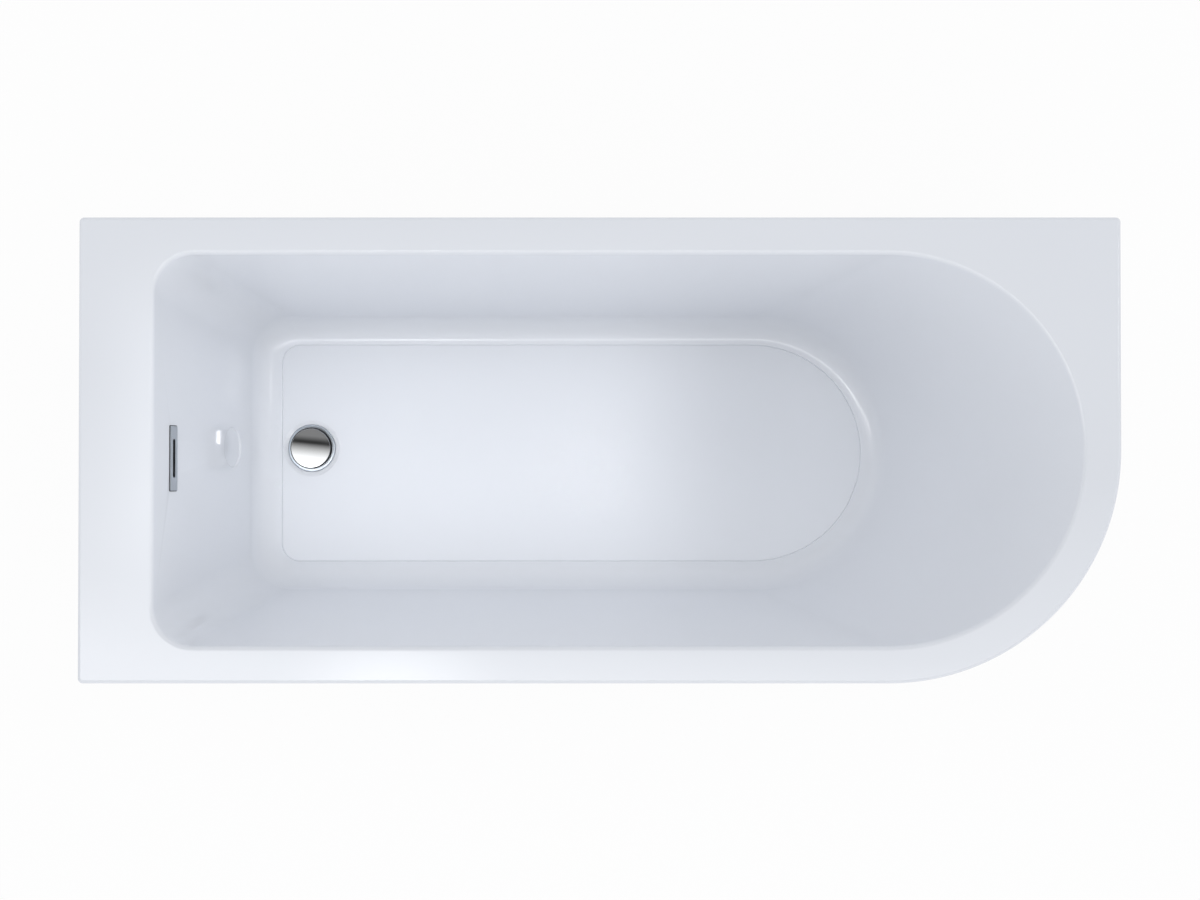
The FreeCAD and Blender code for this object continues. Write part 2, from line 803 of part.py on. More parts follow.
def leg_nuts():
    nuts = []
    for station, side in FOOT_NAMES:
        for z in nut_heights()["nut"]:
            blank = bind(doc.addObject("Part::Prism", "nut_blank"), Height="nut_height",
                         Circumradius="nut_flats / sqrt(3)")
            blank.Polygon = 6
            where = (channel_x(station), f"{side} * leg_spread")
            place(blank, *where, z)
            bore = cylinder("nut_bore", *where, f"{z} - overshoot", "rod_hole_radius",
                            "nut_height + 2 * overshoot")
            nuts.append(cut("nut", blank, bore))
    return group("leg_lock_nuts", nuts)


def leg_washers():
    washers = []
    for station, side in FOOT_NAMES:
        for z in nut_heights()["washer"]:
            where = (channel_x(station), f"{side} * leg_spread")
            disc = cylinder("washer_disc", *where, z, "washer_radius", "washer_thickness")
            bore = cylinder("washer_bore", *where, f"{z} - overshoot", "rod_hole_radius",
                            "washer_thickness + 2 * overshoot")
            washers.append(cut("washer", disc, bore))
    return group("leg_washers", washers)


def foot_rod(name, station, side):
    return cylinder(name, channel_x(station), f"{side} * leg_spread", "rod_bottom_z", "rod_radius",
                    "rod_top_z - rod_bottom_z")


def foot_pad(name, station, side):
    socket = "rod_radius + pad_socket_clearance"
    pad = turned_body(name, [
        ("0", "0"), ("pad_radius - pad_edge", "0"), ("pad_radius", "pad_edge"), ("pad_radius", "pad_base"),
        ("pad_neck_radius + pad_flare", "pad_base + pad_flare_height"), ("pad_neck_radius", "pad_height"),
        (socket, "pad_height"), (socket, "rod_bottom_z"), ("0", "rod_bottom_z")])
    return place(pad, channel_x(station), f"{side} * leg_spread")


# Wall brackets


def wall_bracket(name):
    """An angle whose upright leg lies against the wall plane y = 0, under a lip that ends at z = 0."""
    level = box(name + "_level", "-bracket_width / 2", "-bracket_reach", "-bracket_sheet", "bracket_width",
                "bracket_reach", "bracket_sheet")
    upright = box(name + "_upright", "-bracket_width / 2", "-bracket_sheet", "-bracket_drop", "bracket_width",
                  "bracket_sheet", "bracket_drop")
    holes = []
    for side in (-1, 1):
        through = "bracket_sheet + 2 * overshoot"
        holes.append(cylinder(name + "_hole", f"{side} * bracket_hole_spacing / 2", "overshoot",
                              "-bracket_hole_drop", "bracket_hole_radius", through, (1, 0, 0), "90 deg"))
        holes.append(cylinder(name + "_screw_hole", f"{side} * bracket_screw_spacing / 2",
                              "-bracket_screw_back", "-bracket_sheet - overshoot", "bracket_screw_radius",
                              through))
    return cut(name, fuse(name + "_angle", level, upright), *holes)


def bracket_screws(name):
    pair = []
    for side in (-1, 1):
        piece = screw(name, "bracket_screw_radius", "bracket_screw_length")
        pair.append(place(piece, f"{side} * bracket_screw_spacing / 2", "-bracket_screw_back",
                          "-bracket_sheet"))
    return group(name, pair)


def put_wall_brackets():
    """Two brackets for the back wall and one for the wall at the tap end, with their screws."""
    stations = {"wall_bracket_back_tap": ("-bracket_spread", "back", "0 deg"),
                "wall_bracket_back_head": ("bracket_spread", "back", "0 deg"),
                "wall_bracket_tap_end": ("left", "0", "90 deg")}
    pairs = []
    for name, (x, y, angle) in stations.items():
        keep(place(wall_bracket(name), x, y, "lip_z", angle=angle), name)
        pairs.append(place(bracket_screws(name + "_screws"), x, y, "lip_z", angle=angle))
    keep(group("wall_bracket_screws", pairs), "wall_bracket_screws")


# Waste and plug


def waste_flange():
    ring = turned_body("flange_ring", [
        ("flange_radius", "flange_under_z"), ("flange_radius", "flange_top_z - flange_edge"),
        ("flange_radius - flange_edge", "flange_top_z"), ("seat_radius", "flange_top_z"),
        ("seat_radius - seat_slope", "flange_top_z - seat_depth"),
        ("tube_bore_radius + tube_mouth", "flange_top_z - seat_depth"),
        ("tube_bore_radius", "flange_top_z - seat_depth - tube_mouth"), ("tube_bore_radius", "tube_end_z"),
        ("waste_tube_radius", "tube_end_z"), ("waste_tube_radius", "flange_under_z")],
        "drain_x", "drain_offset")
    arms = []
    for index in range(3):
        angle = f"{120 * index + 60} deg"
        arm = box("spider_arm", "0", "0", "0", "tube_bore_radius + spider_bite", "spider_arm",
                  "spider_height")
        arms.append(place(arm, f"drain_x + spider_arm / 2 * sin({angle})",
                          f"drain_offset - spider_arm / 2 * cos({angle})", "spider_under_z", angle=angle))
    hub = cylinder("spider_hub", "drain_x", "drain_offset", "spider_under_z", "hub_radius", "spider_height")
    bore = cylinder("spider_bore", "drain_x", "drain_offset", "spider_under_z - overshoot", "hub_bore_radius",
                    "spider_height + 2 * overshoot")
    return cut("waste_flange", fuse("flange_and_spider", ring, hub, *arms), bore)


def waste_ring(name, inner, outer, low, high):
    """A flat ring about the waste's axis."""
    section = [(inner, low), (outer, low), (outer, high), (inner, high)]
    return turned_body(name, section, "drain_x", "drain_offset")


def waste_body():
    round_part = turned_body("waste_body_round", [
        ("body_bore_radius", "waste_body_top_z"), ("body_bore_radius", "chamber_top_z"),
        ("chamber_radius", "chamber_top_z - chamber_shoulder"),
        ("chamber_radius", "waste_body_under_z + sump_height"),
        ("outlet_bore_radius", "waste_body_under_z + sump_floor"), ("outlet_bore_radius", "outlet_end_z"),
        ("outlet_radius", "outlet_end_z"), ("outlet_radius", "waste_body_under_z"),
        ("waste_body_radius", "waste_body_under_z + sump_foot"),
        ("waste_body_radius", "waste_body_top_z - waste_body_flange"),
        ("waste_body_flange_radius", "waste_body_top_z - waste_body_flange"),
        ("waste_body_flange_radius", "waste_body_top_z")])
    tube = cylinder("inlet_tube", "-chamber_radius", "0", "inlet_z", "spigot_radius",
                    "inlet_end - chamber_radius", (0, 1, 0), "-90 deg")
    bore = cylinder("inlet_bore", "inlet_overrun - chamber_radius", "0", "inlet_z",
                    "spigot_radius - spigot_wall", "inlet_end - chamber_radius + 2 * inlet_overrun",
                    (0, 1, 0), "-90 deg")
    body = cut("waste_body", fuse("waste_body_whole", round_part, tube), bore)
    return place(body, "drain_x", "drain_offset", angle="hose_turn")


def plug_cartridge():
    collar_z = "spider_top_z + cartridge_collar"
    return turned_body("plug_cartridge", [
        ("0", "cartridge_under_z"), ("cartridge_radius", "cartridge_under_z"),
        ("cartridge_radius", "spider_top_z"), ("cartridge_collar_radius", "spider_top_z"),
        ("cartridge_collar_radius", collar_z), ("cartridge_radius", collar_z),
        ("cartridge_radius", "cartridge_top_z"), ("cartridge_bore_radius", "cartridge_top_z"),
        ("cartridge_bore_radius", "cartridge_bore_z"), ("0", "cartridge_bore_z")], "drain_x", "drain_offset")


def plug_stem():
    return turned_body("plug_stem", [
        ("0", "stem_bottom_z"), ("stem_radius", "stem_bottom_z"), ("stem_radius", "plug_under_z"),
        ("stem_screw_radius", "plug_under_z"), ("stem_screw_radius", "plug_edge_z"), ("0", "plug_edge_z")],
        "drain_x", "drain_offset")


def plug_cap():
    """A low dome with a thin edge, hollow for the stem's screw."""
    blank = turned_body("plug_blank", [
        ("0", "plug_under_z"), ("plug_radius - plug_under_edge", "plug_under_z"),
        ("plug_radius", "plug_under_z + plug_under_edge"), ("plug_radius", "plug_top_z"),
        ("0", "plug_top_z")], "drain_x", "drain_offset")
    ball = bind(doc.addObject("Part::Sphere", "plug_ball"), Radius="plug_ball_radius")
    place(ball, "drain_x", "drain_offset", "plug_top_z - plug_ball_radius")
    dome = doc.addObject("Part::MultiCommon", "plug_dome")
    dome.Shapes = [blank, ball]
    bore = cylinder("plug_bore", "drain_x", "drain_offset", "plug_under_z - overshoot",
                    "stem_screw_radius + stem_clearance", "plug_edge + stem_tip_gap + overshoot")
    return cut("plug_cap", dome, bore)


def plug_gasket():
    return waste_ring("plug_gasket", "plug_gasket_radius - plug_gasket_width", "plug_gasket_radius",
                      "plug_under_z - plug_gasket_height", "plug_under_z")


def waste_gasket():
    return waste_ring("waste_gasket", "body_bore_radius", "flange_radius - gasket_set_in", "dish_z",
                      "flange_under_z")


def waste_washer():
    return waste_ring("waste_washer", "body_bore_radius", "waste_body_flange_radius", "waste_body_top_z",
                      "boss_under_z")


# Overflow


def overflow_cover():
    """A flat plate with a long slot, and a neck behind it that passes through the wall."""
    body = new_body("overflow_plate_body")
    plate = sketch_in(body, "overflow_plate_plan")
    outline(plate, rectangle_corners("-overflow_height / 2", "overflow_height / 2", "-overflow_length / 2",
                                     "overflow_length / 2", "overflow_edge"))
    extrude(body, "Pad", plate, "overflow_plate")
    neck = sketch_in(body, "overflow_neck_plan")
    outline(neck, slot_corners("neck_length_outer", "neck_height_outer"))
    extrude(body, "Pad", neck, "overflow_neck_length", reverse=True)
    slot = sketch_in(body, "overflow_slot_plan", height="overflow_plate")
    outline(slot, slot_corners("overflow_slot_length", "overflow_slot_height"))
    extrude(body, "Pocket", slot, "overflow_plate + overflow_neck_length + overshoot")
    return on_wall(body, "overflow_drop", "overflow_offset")


def overflow_seal():
    """A flat rubber frame between the wall's back and the overflow body."""
    body = new_body("overflow_seal_body")
    frame = sketch_in(body, "overflow_seal_plan", height="-overflow_body_front")
    outline(frame, rectangle_corners("-overflow_body_height / 2", "overflow_body_height / 2",
                                     "-overflow_body_length / 2", "overflow_body_length / 2",
                                     "overflow_edge"))
    extrude(body, "Pad", frame, "overflow_seal")
    slot = sketch_in(body, "overflow_seal_slot", height="0")
    clear = "2 * overflow_hole_clearance"
    outline(slot, slot_corners(f"neck_length_outer + {clear}", f"neck_height_outer + {clear}"))
    extrude(body, "Pocket", slot, "overflow_body_front + overshoot")
    return on_wall(body, "overflow_drop", "overflow_offset")


def overflow_body():
    """A hollow box behind the wall that takes the neck and ends in a spigot for the hose."""
    half_height, half_length = "overflow_body_height / 2", "overflow_body_length / 2"
    back = "overflow_body_front + overflow_body_depth"
    case = new_body("overflow_case")
    plan = sketch_in(case, "overflow_case_plan", height=f"-({back})")
    outline(plan, rectangle_corners(f"-{half_height}", half_height, f"-{half_length}", half_length,
                                    "overflow_body_corner"))
    extrude(case, "Pad", plan, "overflow_body_depth")
    on_wall(case, "overflow_drop", "overflow_offset")
    hollow = new_body("overflow_hollow")
    wall = "overflow_body_wall"
    plan = sketch_in(hollow, "overflow_hollow_plan", height=f"-({back}) + {wall}")
    outline(plan, rectangle_corners(f"-{half_height} + {wall}", f"{half_height} - {wall}",
                                    f"-{half_length} + {wall}", f"{half_length} - {wall}"))
    extrude(hollow, "Pad", plan, f"overflow_body_depth - 2 * {wall}")
    on_wall(hollow, "overflow_drop", "overflow_offset")
    spigot = cylinder("overflow_spigot", "hose_x", "overflow_offset", "spigot_end_z", "spigot_radius",
                      "overflow_spigot_length + overflow_body_height / 4")
    bore = cylinder("overflow_bore", "hose_x", "overflow_offset", "spigot_end_z - overshoot",
                    "spigot_radius - spigot_wall", "overflow_spigot_length + overflow_body_height / 2")
    neck = overflow_hole("stem_clearance", "overflow_body_front + overflow_body_depth / 2")
    return cut("overflow_body", fuse("overflow_case_and_spigot", case, spigot), hollow, bore, neck)


# Overflow hose


def hose_point(along):
    """The point and direction of the hose's middle line at a length along it.

    It lies in its own upright plane: X is the distance from the waste towards the tap end, and Z is up."""
    radius = number("hose_bend_radius")
    reach, top, low = (number(name) for name in ("hose_reach", "hose_top_z", "inlet_z"))
    drop = top - low - radius
    bend = radius * math.pi / 2
    if along <= drop:
        return Vector(reach, 0, top - along), Vector(0, 0, -1)
    if along <= drop + bend:
        angle = (along - drop) / radius
        centre = Vector(reach - radius, 0, low + radius)
        outward = Vector(math.cos(angle), 0, -math.sin(angle))
        return centre + outward * radius, Vector(-math.sin(angle), 0, -math.cos(angle))
    return Vector(reach - radius - (along - drop - bend), 0, low), Vector(-1, 0, 0)


def hose_length():
    """The hose's length from the top of its upper end to the tip of its lower end."""
    radius = number("hose_bend_radius")
    upright = number("hose_top_z - inlet_z") - radius
    level = number("hose_reach - inlet_end + hose_overlap") - radius
    return upright + radius * math.pi / 2 + level


def hose_ring(along, radius):
    """A circle round the hose's middle line, with a steady first axis so that the rulings don't twist."""
    centre, direction = hose_point(along)
    circle = Part.Circle(centre, direction, radius)
    circle.XAxis = Vector(0, 1, 0)
    return Part.Wire(circle.toShape())


def overflow_hose():
    """A ribbed hose with plain cuffs, bored through."""
    bore = number("hose_bore_radius")
    valley = bore + number("hose_wall")
    crest = valley + number("hose_rib_height")
    length, cuff = hose_length(), number("hose_overlap")
    ribs = int((length - 2 * cuff) / number("hose_rib_pitch"))
    pitch = (length - 2 * cuff) / ribs
    foot, top = number("hose_rib_foot_share"), number("hose_rib_top_share")
    rings = [hose_ring(0, valley)]
    for rib in range(ribs):
        start = cuff + rib * pitch
        for share, radius in ((foot, valley), (top, crest), (1 - top, crest), (1 - foot, valley)):
            rings.append(hose_ring(start + share * pitch, radius))
    rings.append(hose_ring(length, valley))
    ribbed = Part.makeLoft(rings, True, True)
    drop = number("hose_top_z - inlet_z - hose_bend_radius")
    bend = number("hose_bend_radius") * math.pi / 2
    past = number("overshoot")
    stations = [-past, drop, drop + bend / 2, drop + bend, length + past]
    points = [hose_point(station)[0] for station in stations]
    path = Part.Wire([Part.LineSegment(points[0], points[1]).toShape(),
                      Part.Arc(points[1], points[2], points[3]).toShape(),
                      Part.LineSegment(points[3], points[4]).toShape()])
    hollow = path.makePipeShell([hose_ring(-past, bore)], True, False)
    hose = doc.addObject("Part::Feature", "overflow_hose")
    hose.Shape = ribbed.cut(hollow)
    return place(hose, "drain_x", "drain_offset", angle="180 deg + hose_turn")


def hose_nut(name):
    """A coupling nut round a cuff, with round grips, lying along the upright axis from z = 0."""
    blank = cylinder(name + "_blank", "0", "0", "0", "hose_nut_radius", "hose_nut_length")
    through = "hose_nut_length + 2 * overshoot"
    bore = cylinder(name + "_bore", "0", "0", "-overshoot", "hose_bore_radius + hose_wall + hose_clearance",
                    through)
    grips = []
    for index in range(int(number("hose_nut_grips"))):
        angle = f"360 deg * {index} / hose_nut_grips"
        grips.append(cylinder(name + "_grip", f"hose_nut_radius * cos({angle})",
                              f"hose_nut_radius * sin({angle})", "-overshoot", "hose_nut_grip_radius",
                              through))
    return cut(name + "_turned", blank, bore, *grips)


def hose_nut_top():
    return place(hose_nut("top_nut"), "hose_x", "overflow_offset", "spigot_end_z")


def hose_nut_bottom():
    lying = place(hose_nut("bottom_nut"), "hose_nut_length - inlet_end", "0", "inlet_z", (0, 1, 0), "-90 deg")
    return place(group("lying_nut", [lying]), "drain_x", "drain_offset", angle="hose_turn")


# The assembly

keep(bath_shell(), "bath_shell")
keep(fibreglass_backing(), "fibreglass_backing")
keep(base_board(), "base_board")
keep(back_rim_batten(), "back_rim_batten")
keep(front_rim_batten(), "front_rim_batten")
keep(tap_deck_board(), "tap_deck_board")
keep(corner_gusset(), "corner_gusset")
keep(front_apron(), "front_apron")
keep(apron_plinth_batten(), "apron_plinth_batten")
for channel_name, channel_station in (("tap_end", -1), ("middle", 0), ("head_end", 1)):
    keep(leg_channel("leg_channel_" + channel_name, channel_station), "leg_channel_" + channel_name)
keep(channel_screws(), "channel_screws")
keep(leg_nuts(), "leg_lock_nuts")
keep(leg_washers(), "leg_washers")
for (foot_station, foot_side), foot_name in FOOT_NAMES.items():
    keep(foot_rod("foot_rod_" + foot_name, foot_station, foot_side), "foot_rod_" + foot_name)
    keep(foot_pad("foot_pad_" + foot_name, foot_station, foot_side), "foot_pad_" + foot_name)
put_wall_brackets()
keep(waste_flange(), "waste_flange")
keep(waste_gasket(), "waste_gasket")
keep(waste_washer(), "waste_washer")
keep(waste_body(), "waste_body")
keep(plug_cartridge(), "plug_cartridge")
keep(plug_stem(), "plug_stem")
keep(plug_cap(), "plug_cap")
keep(plug_gasket(), "plug_gasket")
keep(overflow_cover(), "overflow_cover")
keep(overflow_seal(), "overflow_seal")
keep(overflow_body(), "overflow_body")
keep(overflow_hose(), "overflow_hose")
keep(hose_nut_top(), "hose_nut_top")
keep(hose_nut_bottom(), "hose_nut_bottom")

doc.recompute()
failed = [thing.Label for thing in doc.Objects if {"Invalid", "Error"} & set(thing.State)]
if failed:
    raise RuntimeError(f"these objects failed to build: {failed}")
for thing in sub_parts:
    if thing.Shape.isNull() or not thing.Shape.isValid() or not thing.Shape.Solids:
        raise RuntimeError(f"{thing.Label} is not a valid solid")
os.makedirs("parts", exist_ok=True)
for thing in sub_parts:
    thing.Shape.exportStep(os.path.join("parts", thing.Label + ".step"))
print(f"hose length {hose_length():.1f} mm, {len(sub_parts)} sub-parts")
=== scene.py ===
"""The look of a corner bathtub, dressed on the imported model's frame.

Lengths are in metres, in the model's own frame. The origin is on the floor under the middle of the bath,
+X runs from the tap end to the backrest, +Y to the back wall and +Z up.
"""

import json
import math

import bmesh
import bpy
from mathutils import Matrix, Vector

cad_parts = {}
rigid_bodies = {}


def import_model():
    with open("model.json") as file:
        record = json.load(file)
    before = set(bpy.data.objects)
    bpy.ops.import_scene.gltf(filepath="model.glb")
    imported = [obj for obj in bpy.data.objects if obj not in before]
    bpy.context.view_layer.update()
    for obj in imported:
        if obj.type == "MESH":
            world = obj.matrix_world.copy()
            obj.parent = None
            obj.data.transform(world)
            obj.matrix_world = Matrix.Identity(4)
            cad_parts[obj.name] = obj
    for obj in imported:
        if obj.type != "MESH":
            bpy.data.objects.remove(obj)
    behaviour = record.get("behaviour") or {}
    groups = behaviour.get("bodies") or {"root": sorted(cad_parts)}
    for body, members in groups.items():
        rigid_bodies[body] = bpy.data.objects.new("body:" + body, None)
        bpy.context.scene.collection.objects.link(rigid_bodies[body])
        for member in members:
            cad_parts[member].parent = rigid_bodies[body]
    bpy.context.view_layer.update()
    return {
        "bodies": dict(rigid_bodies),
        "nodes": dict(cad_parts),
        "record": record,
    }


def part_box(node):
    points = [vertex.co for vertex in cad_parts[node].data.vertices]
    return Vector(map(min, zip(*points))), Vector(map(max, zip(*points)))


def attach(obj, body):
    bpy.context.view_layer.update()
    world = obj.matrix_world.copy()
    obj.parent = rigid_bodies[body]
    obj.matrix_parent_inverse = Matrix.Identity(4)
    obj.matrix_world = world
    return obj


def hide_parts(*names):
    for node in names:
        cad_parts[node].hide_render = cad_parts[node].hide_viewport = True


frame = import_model()

MM = 0.001
MERGE = 0.01 * MM
UP = Vector((0, 0, 1))
QUARTER = math.pi / 2

# The tub's own form
DECK_WIDTH = 122 * MM
RIM_WIDTH = 60 * MM
TUB_DEPTH = 420 * MM
TAP_END_LEAN = 98 * MM
SIDE_LEAN = 77 * MM
BACKREST_LEAN = 279 * MM
OPENING_CORNER = 65 * MM
FLOOR_CORNER = 74 * MM
FLOOR_ROUND = 50 * MM
FLOOR_ARC = math.radians(82)
RIM_ROUND = 8 * MM
ROOM_CORNER = 380 * MM
SQUARE_CORNER = 8 * MM
LEAST_CORNER = 0.6 * MM
EDGE_ROUND = 6 * MM
LIP_DEPTH = 30 * MM
SHEET = 5.5 * MM
STEP_DEPTH = 2 * MM
DISH_DEPTH = 5 * MM
DISH_RADIUS = 51 * MM
DISH_SLOPE = 7 * MM
DISH_TILT = math.radians(13)
DISH_EDGE = 1.2 * MM
WASTE_HOLE = 27 * MM
FLAT_DROP = 301 * MM
FLAT_RADIUS = 36 * MM
FLAT_Y = 9 * MM
FLAT_RECESS = 0.4 * MM
FLAT_FOOT_RECESS = 3.4 * MM
FLAT_EDGE = 0.5 * MM
# Inset and height of the crease round the floor panel, in millimetres
FLOOR_CREASE = ((0.3, -0.3), (0.8, -2.4), (1.2, -3.0), (1.6, -2.9), (2.1, -2.2), (2.6, -2))
# Overflow on the tap-end wall
OVERFLOW_DROP = 71 * MM
OVERFLOW_LENGTH = 108 * MM
OVERFLOW_HEIGHT = 25 * MM
OVERFLOW_PLATE = 2.4 * MM
OVERFLOW_SLOT = 65 * MM
OVERFLOW_SLOT_HEIGHT = 8.4 * MM
OVERFLOW_NECK = 1.3 * MM
OVERFLOW_NECK_LENGTH = 16 * MM
OVERFLOW_CLEAR = 1 * MM
PLATE_CORNER = 1.4 * MM
# The rubber frame that shows round the plate is a painted shadow line, and the dark sleeve lining the slot is
# a painted shade.
SEAL_SHADOW_LINE = 1 * MM
SEAL_HEIGHT = 1 * MM
SEAL_TUCK = 0.1 * MM
SHADE_SLEEVE_GAP = 0.05 * MM
SHADE_SLEEVE_WALL = 0.7 * MM
SHADE_SLEEVE_DROP = 0.9 * MM
# Laminate and apron
BACKING_OUTSIDE = 10.8 * MM
BACKING_WALL = 4 * MM
BACKING_DROP = 70 * MM
BACKING_WASTE = 50 * MM
BACKING_CLEAR = 14 * MM
APRON_SET_BACK = 8 * MM
APRON_TAPER = 22 * MM
APRON_WALL = 6 * MM
APRON_FLANGE = 28 * MM
FLANGE_RISE = 0.05 * MM
APRON_ROUND = 4 * MM
# Boards and legs
BOARD_EDGE = 1.2 * MM
SOFT_FOLD = math.radians(30)
FLAT_FOLD = math.radians(1)
CHANNEL_BEND = 3.5 * MM
CHANNEL_SHEET = 2 * MM
THREAD_PITCH = 1.75 * MM
THREAD_DEPTH = 1 * MM
CORE_GAP = 0.02 * MM
ROD_TIP = 1 * MM
NUT_HEIGHT = 10 * MM
NUT_FLATS = 19 * MM
NUT_CHAMFER = 1.3 * MM
NUT_SIDES = 6
NUT_FACE_INSET = 0.2 * MM
ROD_HOLE = 6.4 * MM
WASHER = 2 * MM
WASHER_RADIUS = 12 * MM
PAD_NECK = 11 * MM
PAD_SOCKET = 6.1 * MM
PAD_FLOOR = 7 * MM
PAD_RIBS = 8
RIB_WIDTH = 1.6 * MM
RIB_HEIGHT = 6 * MM
RIB_END = 4.8 * MM
RIB_SET_BACK = 2 * MM
# How far ribs and arms sink into what carries them
SINK = 0.5 * MM
# Waste and plug
PLUG_CROWN = 1.6 * MM
# The dark seal lip that shows round the plug dome is a painted shadow line between plug and flange.
SHADOW_LINE_LIP = 0.9 * MM
LIP_HEIGHT = 2 * MM
SEAL_WIDTH = 4 * MM
FLANGE_THICKNESS = 3 * MM
SEAT_RADIUS = 34 * MM
TUBE_RADIUS = 25 * MM
TUBE_BORE = 21.5 * MM
SPIDER_DROP = 20 * MM
SPIDER_HEIGHT = 10 * MM
SPIDER_ARM = 3 * MM
SPIDER_ARMS = 3
SPIDER_TURN = math.radians(60)
HUB_RADIUS = 11 * MM
HUB_BORE = 8.3 * MM
# Overflow hose
HOSE_VALLEY = 14 * MM
HOSE_RIB = 2 * MM
HOSE_PITCH = 7 * MM
HOSE_CUFF = 18 * MM
HOSE_END = 40 * MM
HOSE_SWELL = (0.0, 0.12, 0.7, 1.0, 0.7, 0.12)
# Steps of arcs
WIDE_STEPS = 56
CORNER_STEPS = 14
SMALL_STEPS = 6
ROUND_STEPS = 8
DOME_STEPS = 16
SPLINE_STEPS = 96
# Steps of whole turns
THREAD_STEPS = 20
COARSE_STEPS = 32
BORE_STEPS = 36
WASHER_STEPS = 40
HUB_STEPS = 48
PLAIN_STEPS = 64
FLAT_STEPS = 72
FINE_STEPS = 96
MIRROR_STEPS = 128

shell_low, shell_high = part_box("bath_shell")
LEFT, FRONT, RIGHT, BACK = shell_low.x, shell_low.y, shell_high.x, shell_high.y
RIM_Z = shell_high.z
FLOOR_Z = RIM_Z - TUB_DEPTH
PANEL_Z = FLOOR_Z - STEP_DEPTH
OPENING_LEFT = LEFT + DECK_WIDTH
OPENING_RIGHT = RIGHT - RIM_WIDTH
OPENING_HALF = BACK - RIM_WIDTH
WALL_TILT = math.atan(TAP_END_LEAN / TUB_DEPTH)
NODE_SLOTS = {part["node"]: part["material_slot"] for part in frame["record"]["subparts"]}


def middle_of(node):
    """The middle of a node's box."""
    low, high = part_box(node)
    return (low + high) / 2


def round_box(node):
    """The middle, radius, foot and top of a round upright node."""
    low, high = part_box(node)
    return (low + high) / 2, (high.x - low.x) / 2, low.z, high.z


DRAIN = middle_of("waste_flange")
OVERFLOW_Y = middle_of("overflow_cover").y


# Shader expressions


class Field:
    """A socket of some nodes, with arithmetic on it."""

    def __init__(self, wiring, socket):
        self.wiring = wiring
        self.socket = socket

    def maths(self, operation, *values):
        return self.wiring.node("ShaderNodeMath", {"operation": operation}, dict(enumerate(values)))

    def __add__(self, other):
        return self.maths("ADD", self, other)

    __radd__ = __add__

    def __sub__(self, other):
        return self.maths("SUBTRACT", self, other)

    def __rsub__(self, other):
        return self.maths("SUBTRACT", other, self)

    def __mul__(self, other):
        return self.maths("MULTIPLY", self, other)

    __rmul__ = __mul__

    def __pow__(self, other):
        return self.maths("POWER", self, other)

    def most(self, other):
        """The larger of two."""
        return self.maths("MAXIMUM", self, other)

    def above(self, limit, width):
        """0 below a limit and 1 above it, with a soft edge."""
        settings = {"interpolation_type": "SMOOTHSTEP", "clamp": True}
        inputs = {"Value": self, "From Min": limit - width, "From Max": limit + width}
        return self.wiring.node("ShaderNodeMapRange", settings, inputs)


class Wiring:
    """The nodes of a material or of the studio's world."""

    def __init__(self, tree):
        self.tree = tree
        tree.nodes.clear()

    def feed(self, socket, value):
        """Links a field to a socket, or sets the socket to a plain value."""
        if isinstance(value, Field):
            self.tree.links.new(value.socket, socket)
        else:
            socket.default_value = value

    def node(self, kind, settings=None, inputs=None, output=0):
        """Adds a node. Its settings are set first, then its inputs, by name or number."""
        node = self.tree.nodes.new(kind)
        for name, value in (settings or {}).items():
            if name == "stops":
                set_stops(node.color_ramp, value)
            else:
                setattr(node, name, value)
        for name, value in (inputs or {}).items():
            self.feed(node.inputs[name], value)
        return Field(self, node.outputs[output]) if node.outputs else None

    def coordinates(self):
        """Object coordinates, which are the model's own frame on a piece."""
        return self.node("ShaderNodeTexCoord", output="Object")


class Finish(Wiring):
    """A material of one of the bath's stuffs, on a Principled shader."""

    def __init__(self, name, colour, roughness, **constants):
        self.material = bpy.data.materials.new(name)
        self.material.use_nodes = True
        self.material.diffuse_color = (*colour, 1)
        super().__init__(self.material.node_tree)
        inputs = {socket.replace("_", " "): value for socket, value in constants.items()}
        inputs |= {"Base Color": (*colour, 1), "Roughness": roughness}
        surface = self.node("ShaderNodeBsdfPrincipled", inputs=inputs, output="BSDF")
        self.shader = surface.socket.node
        self.node("ShaderNodeOutputMaterial", inputs={"Surface": surface})

    def place(self, stretch=(1, 1, 1), turn=(0, 0, 0)):
        """Object coordinates, stretched or turned."""
        inputs = {"Vector": self.coordinates(), "Rotation": turn, "Scale": stretch}
        return self.node("ShaderNodeMapping", inputs=inputs)

    def noise(self, scale, detail, stretch=(1, 1, 1)):
        inputs = {"Vector": self.place(stretch), "Scale": scale, "Detail": detail}
        return self.node("ShaderNodeTexNoise", inputs=inputs)

    def cells(self, scale, feature="F1", output="Distance", stretch=(1, 1, 1)):
        inputs = {"Vector": self.place(stretch), "Scale": scale}
        return self.node("ShaderNodeTexVoronoi", {"feature": feature}, inputs, output)

    def blend(self, share, first, second):
        """A colour between two others."""
        first, second = ((*c, 1) if isinstance(c, tuple) else c for c in (first, second))
        return self.node("ShaderNodeMix", {"data_type": "RGBA"}, {0: share, 6: first, 7: second}, 2)

    def colour(self, value):
        self.feed(self.shader.inputs["Base Color"], value)

    def roughness(self, value):
        self.feed(self.shader.inputs["Roughness"], value)

    def bump(self, height, distance, strength=1.0):
        inputs = {"Height": height, "Distance": distance, "Strength": strength}
        self.feed(self.shader.inputs["Normal"], self.node("ShaderNodeBump", inputs=inputs))
        return self


def set_stops(ramp, stops):
    """Fills a colour ramp from pairs of position and colour."""
    while len(ramp.elements) > len(stops):
        ramp.elements.remove(ramp.elements[-1])
    while len(ramp.elements) < len(stops):
        ramp.elements.new(1.0)
    for element, (position, colour) in zip(ramp.elements, stops):
        element.position = position
        element.color = (*colour, 1)


# Finishes


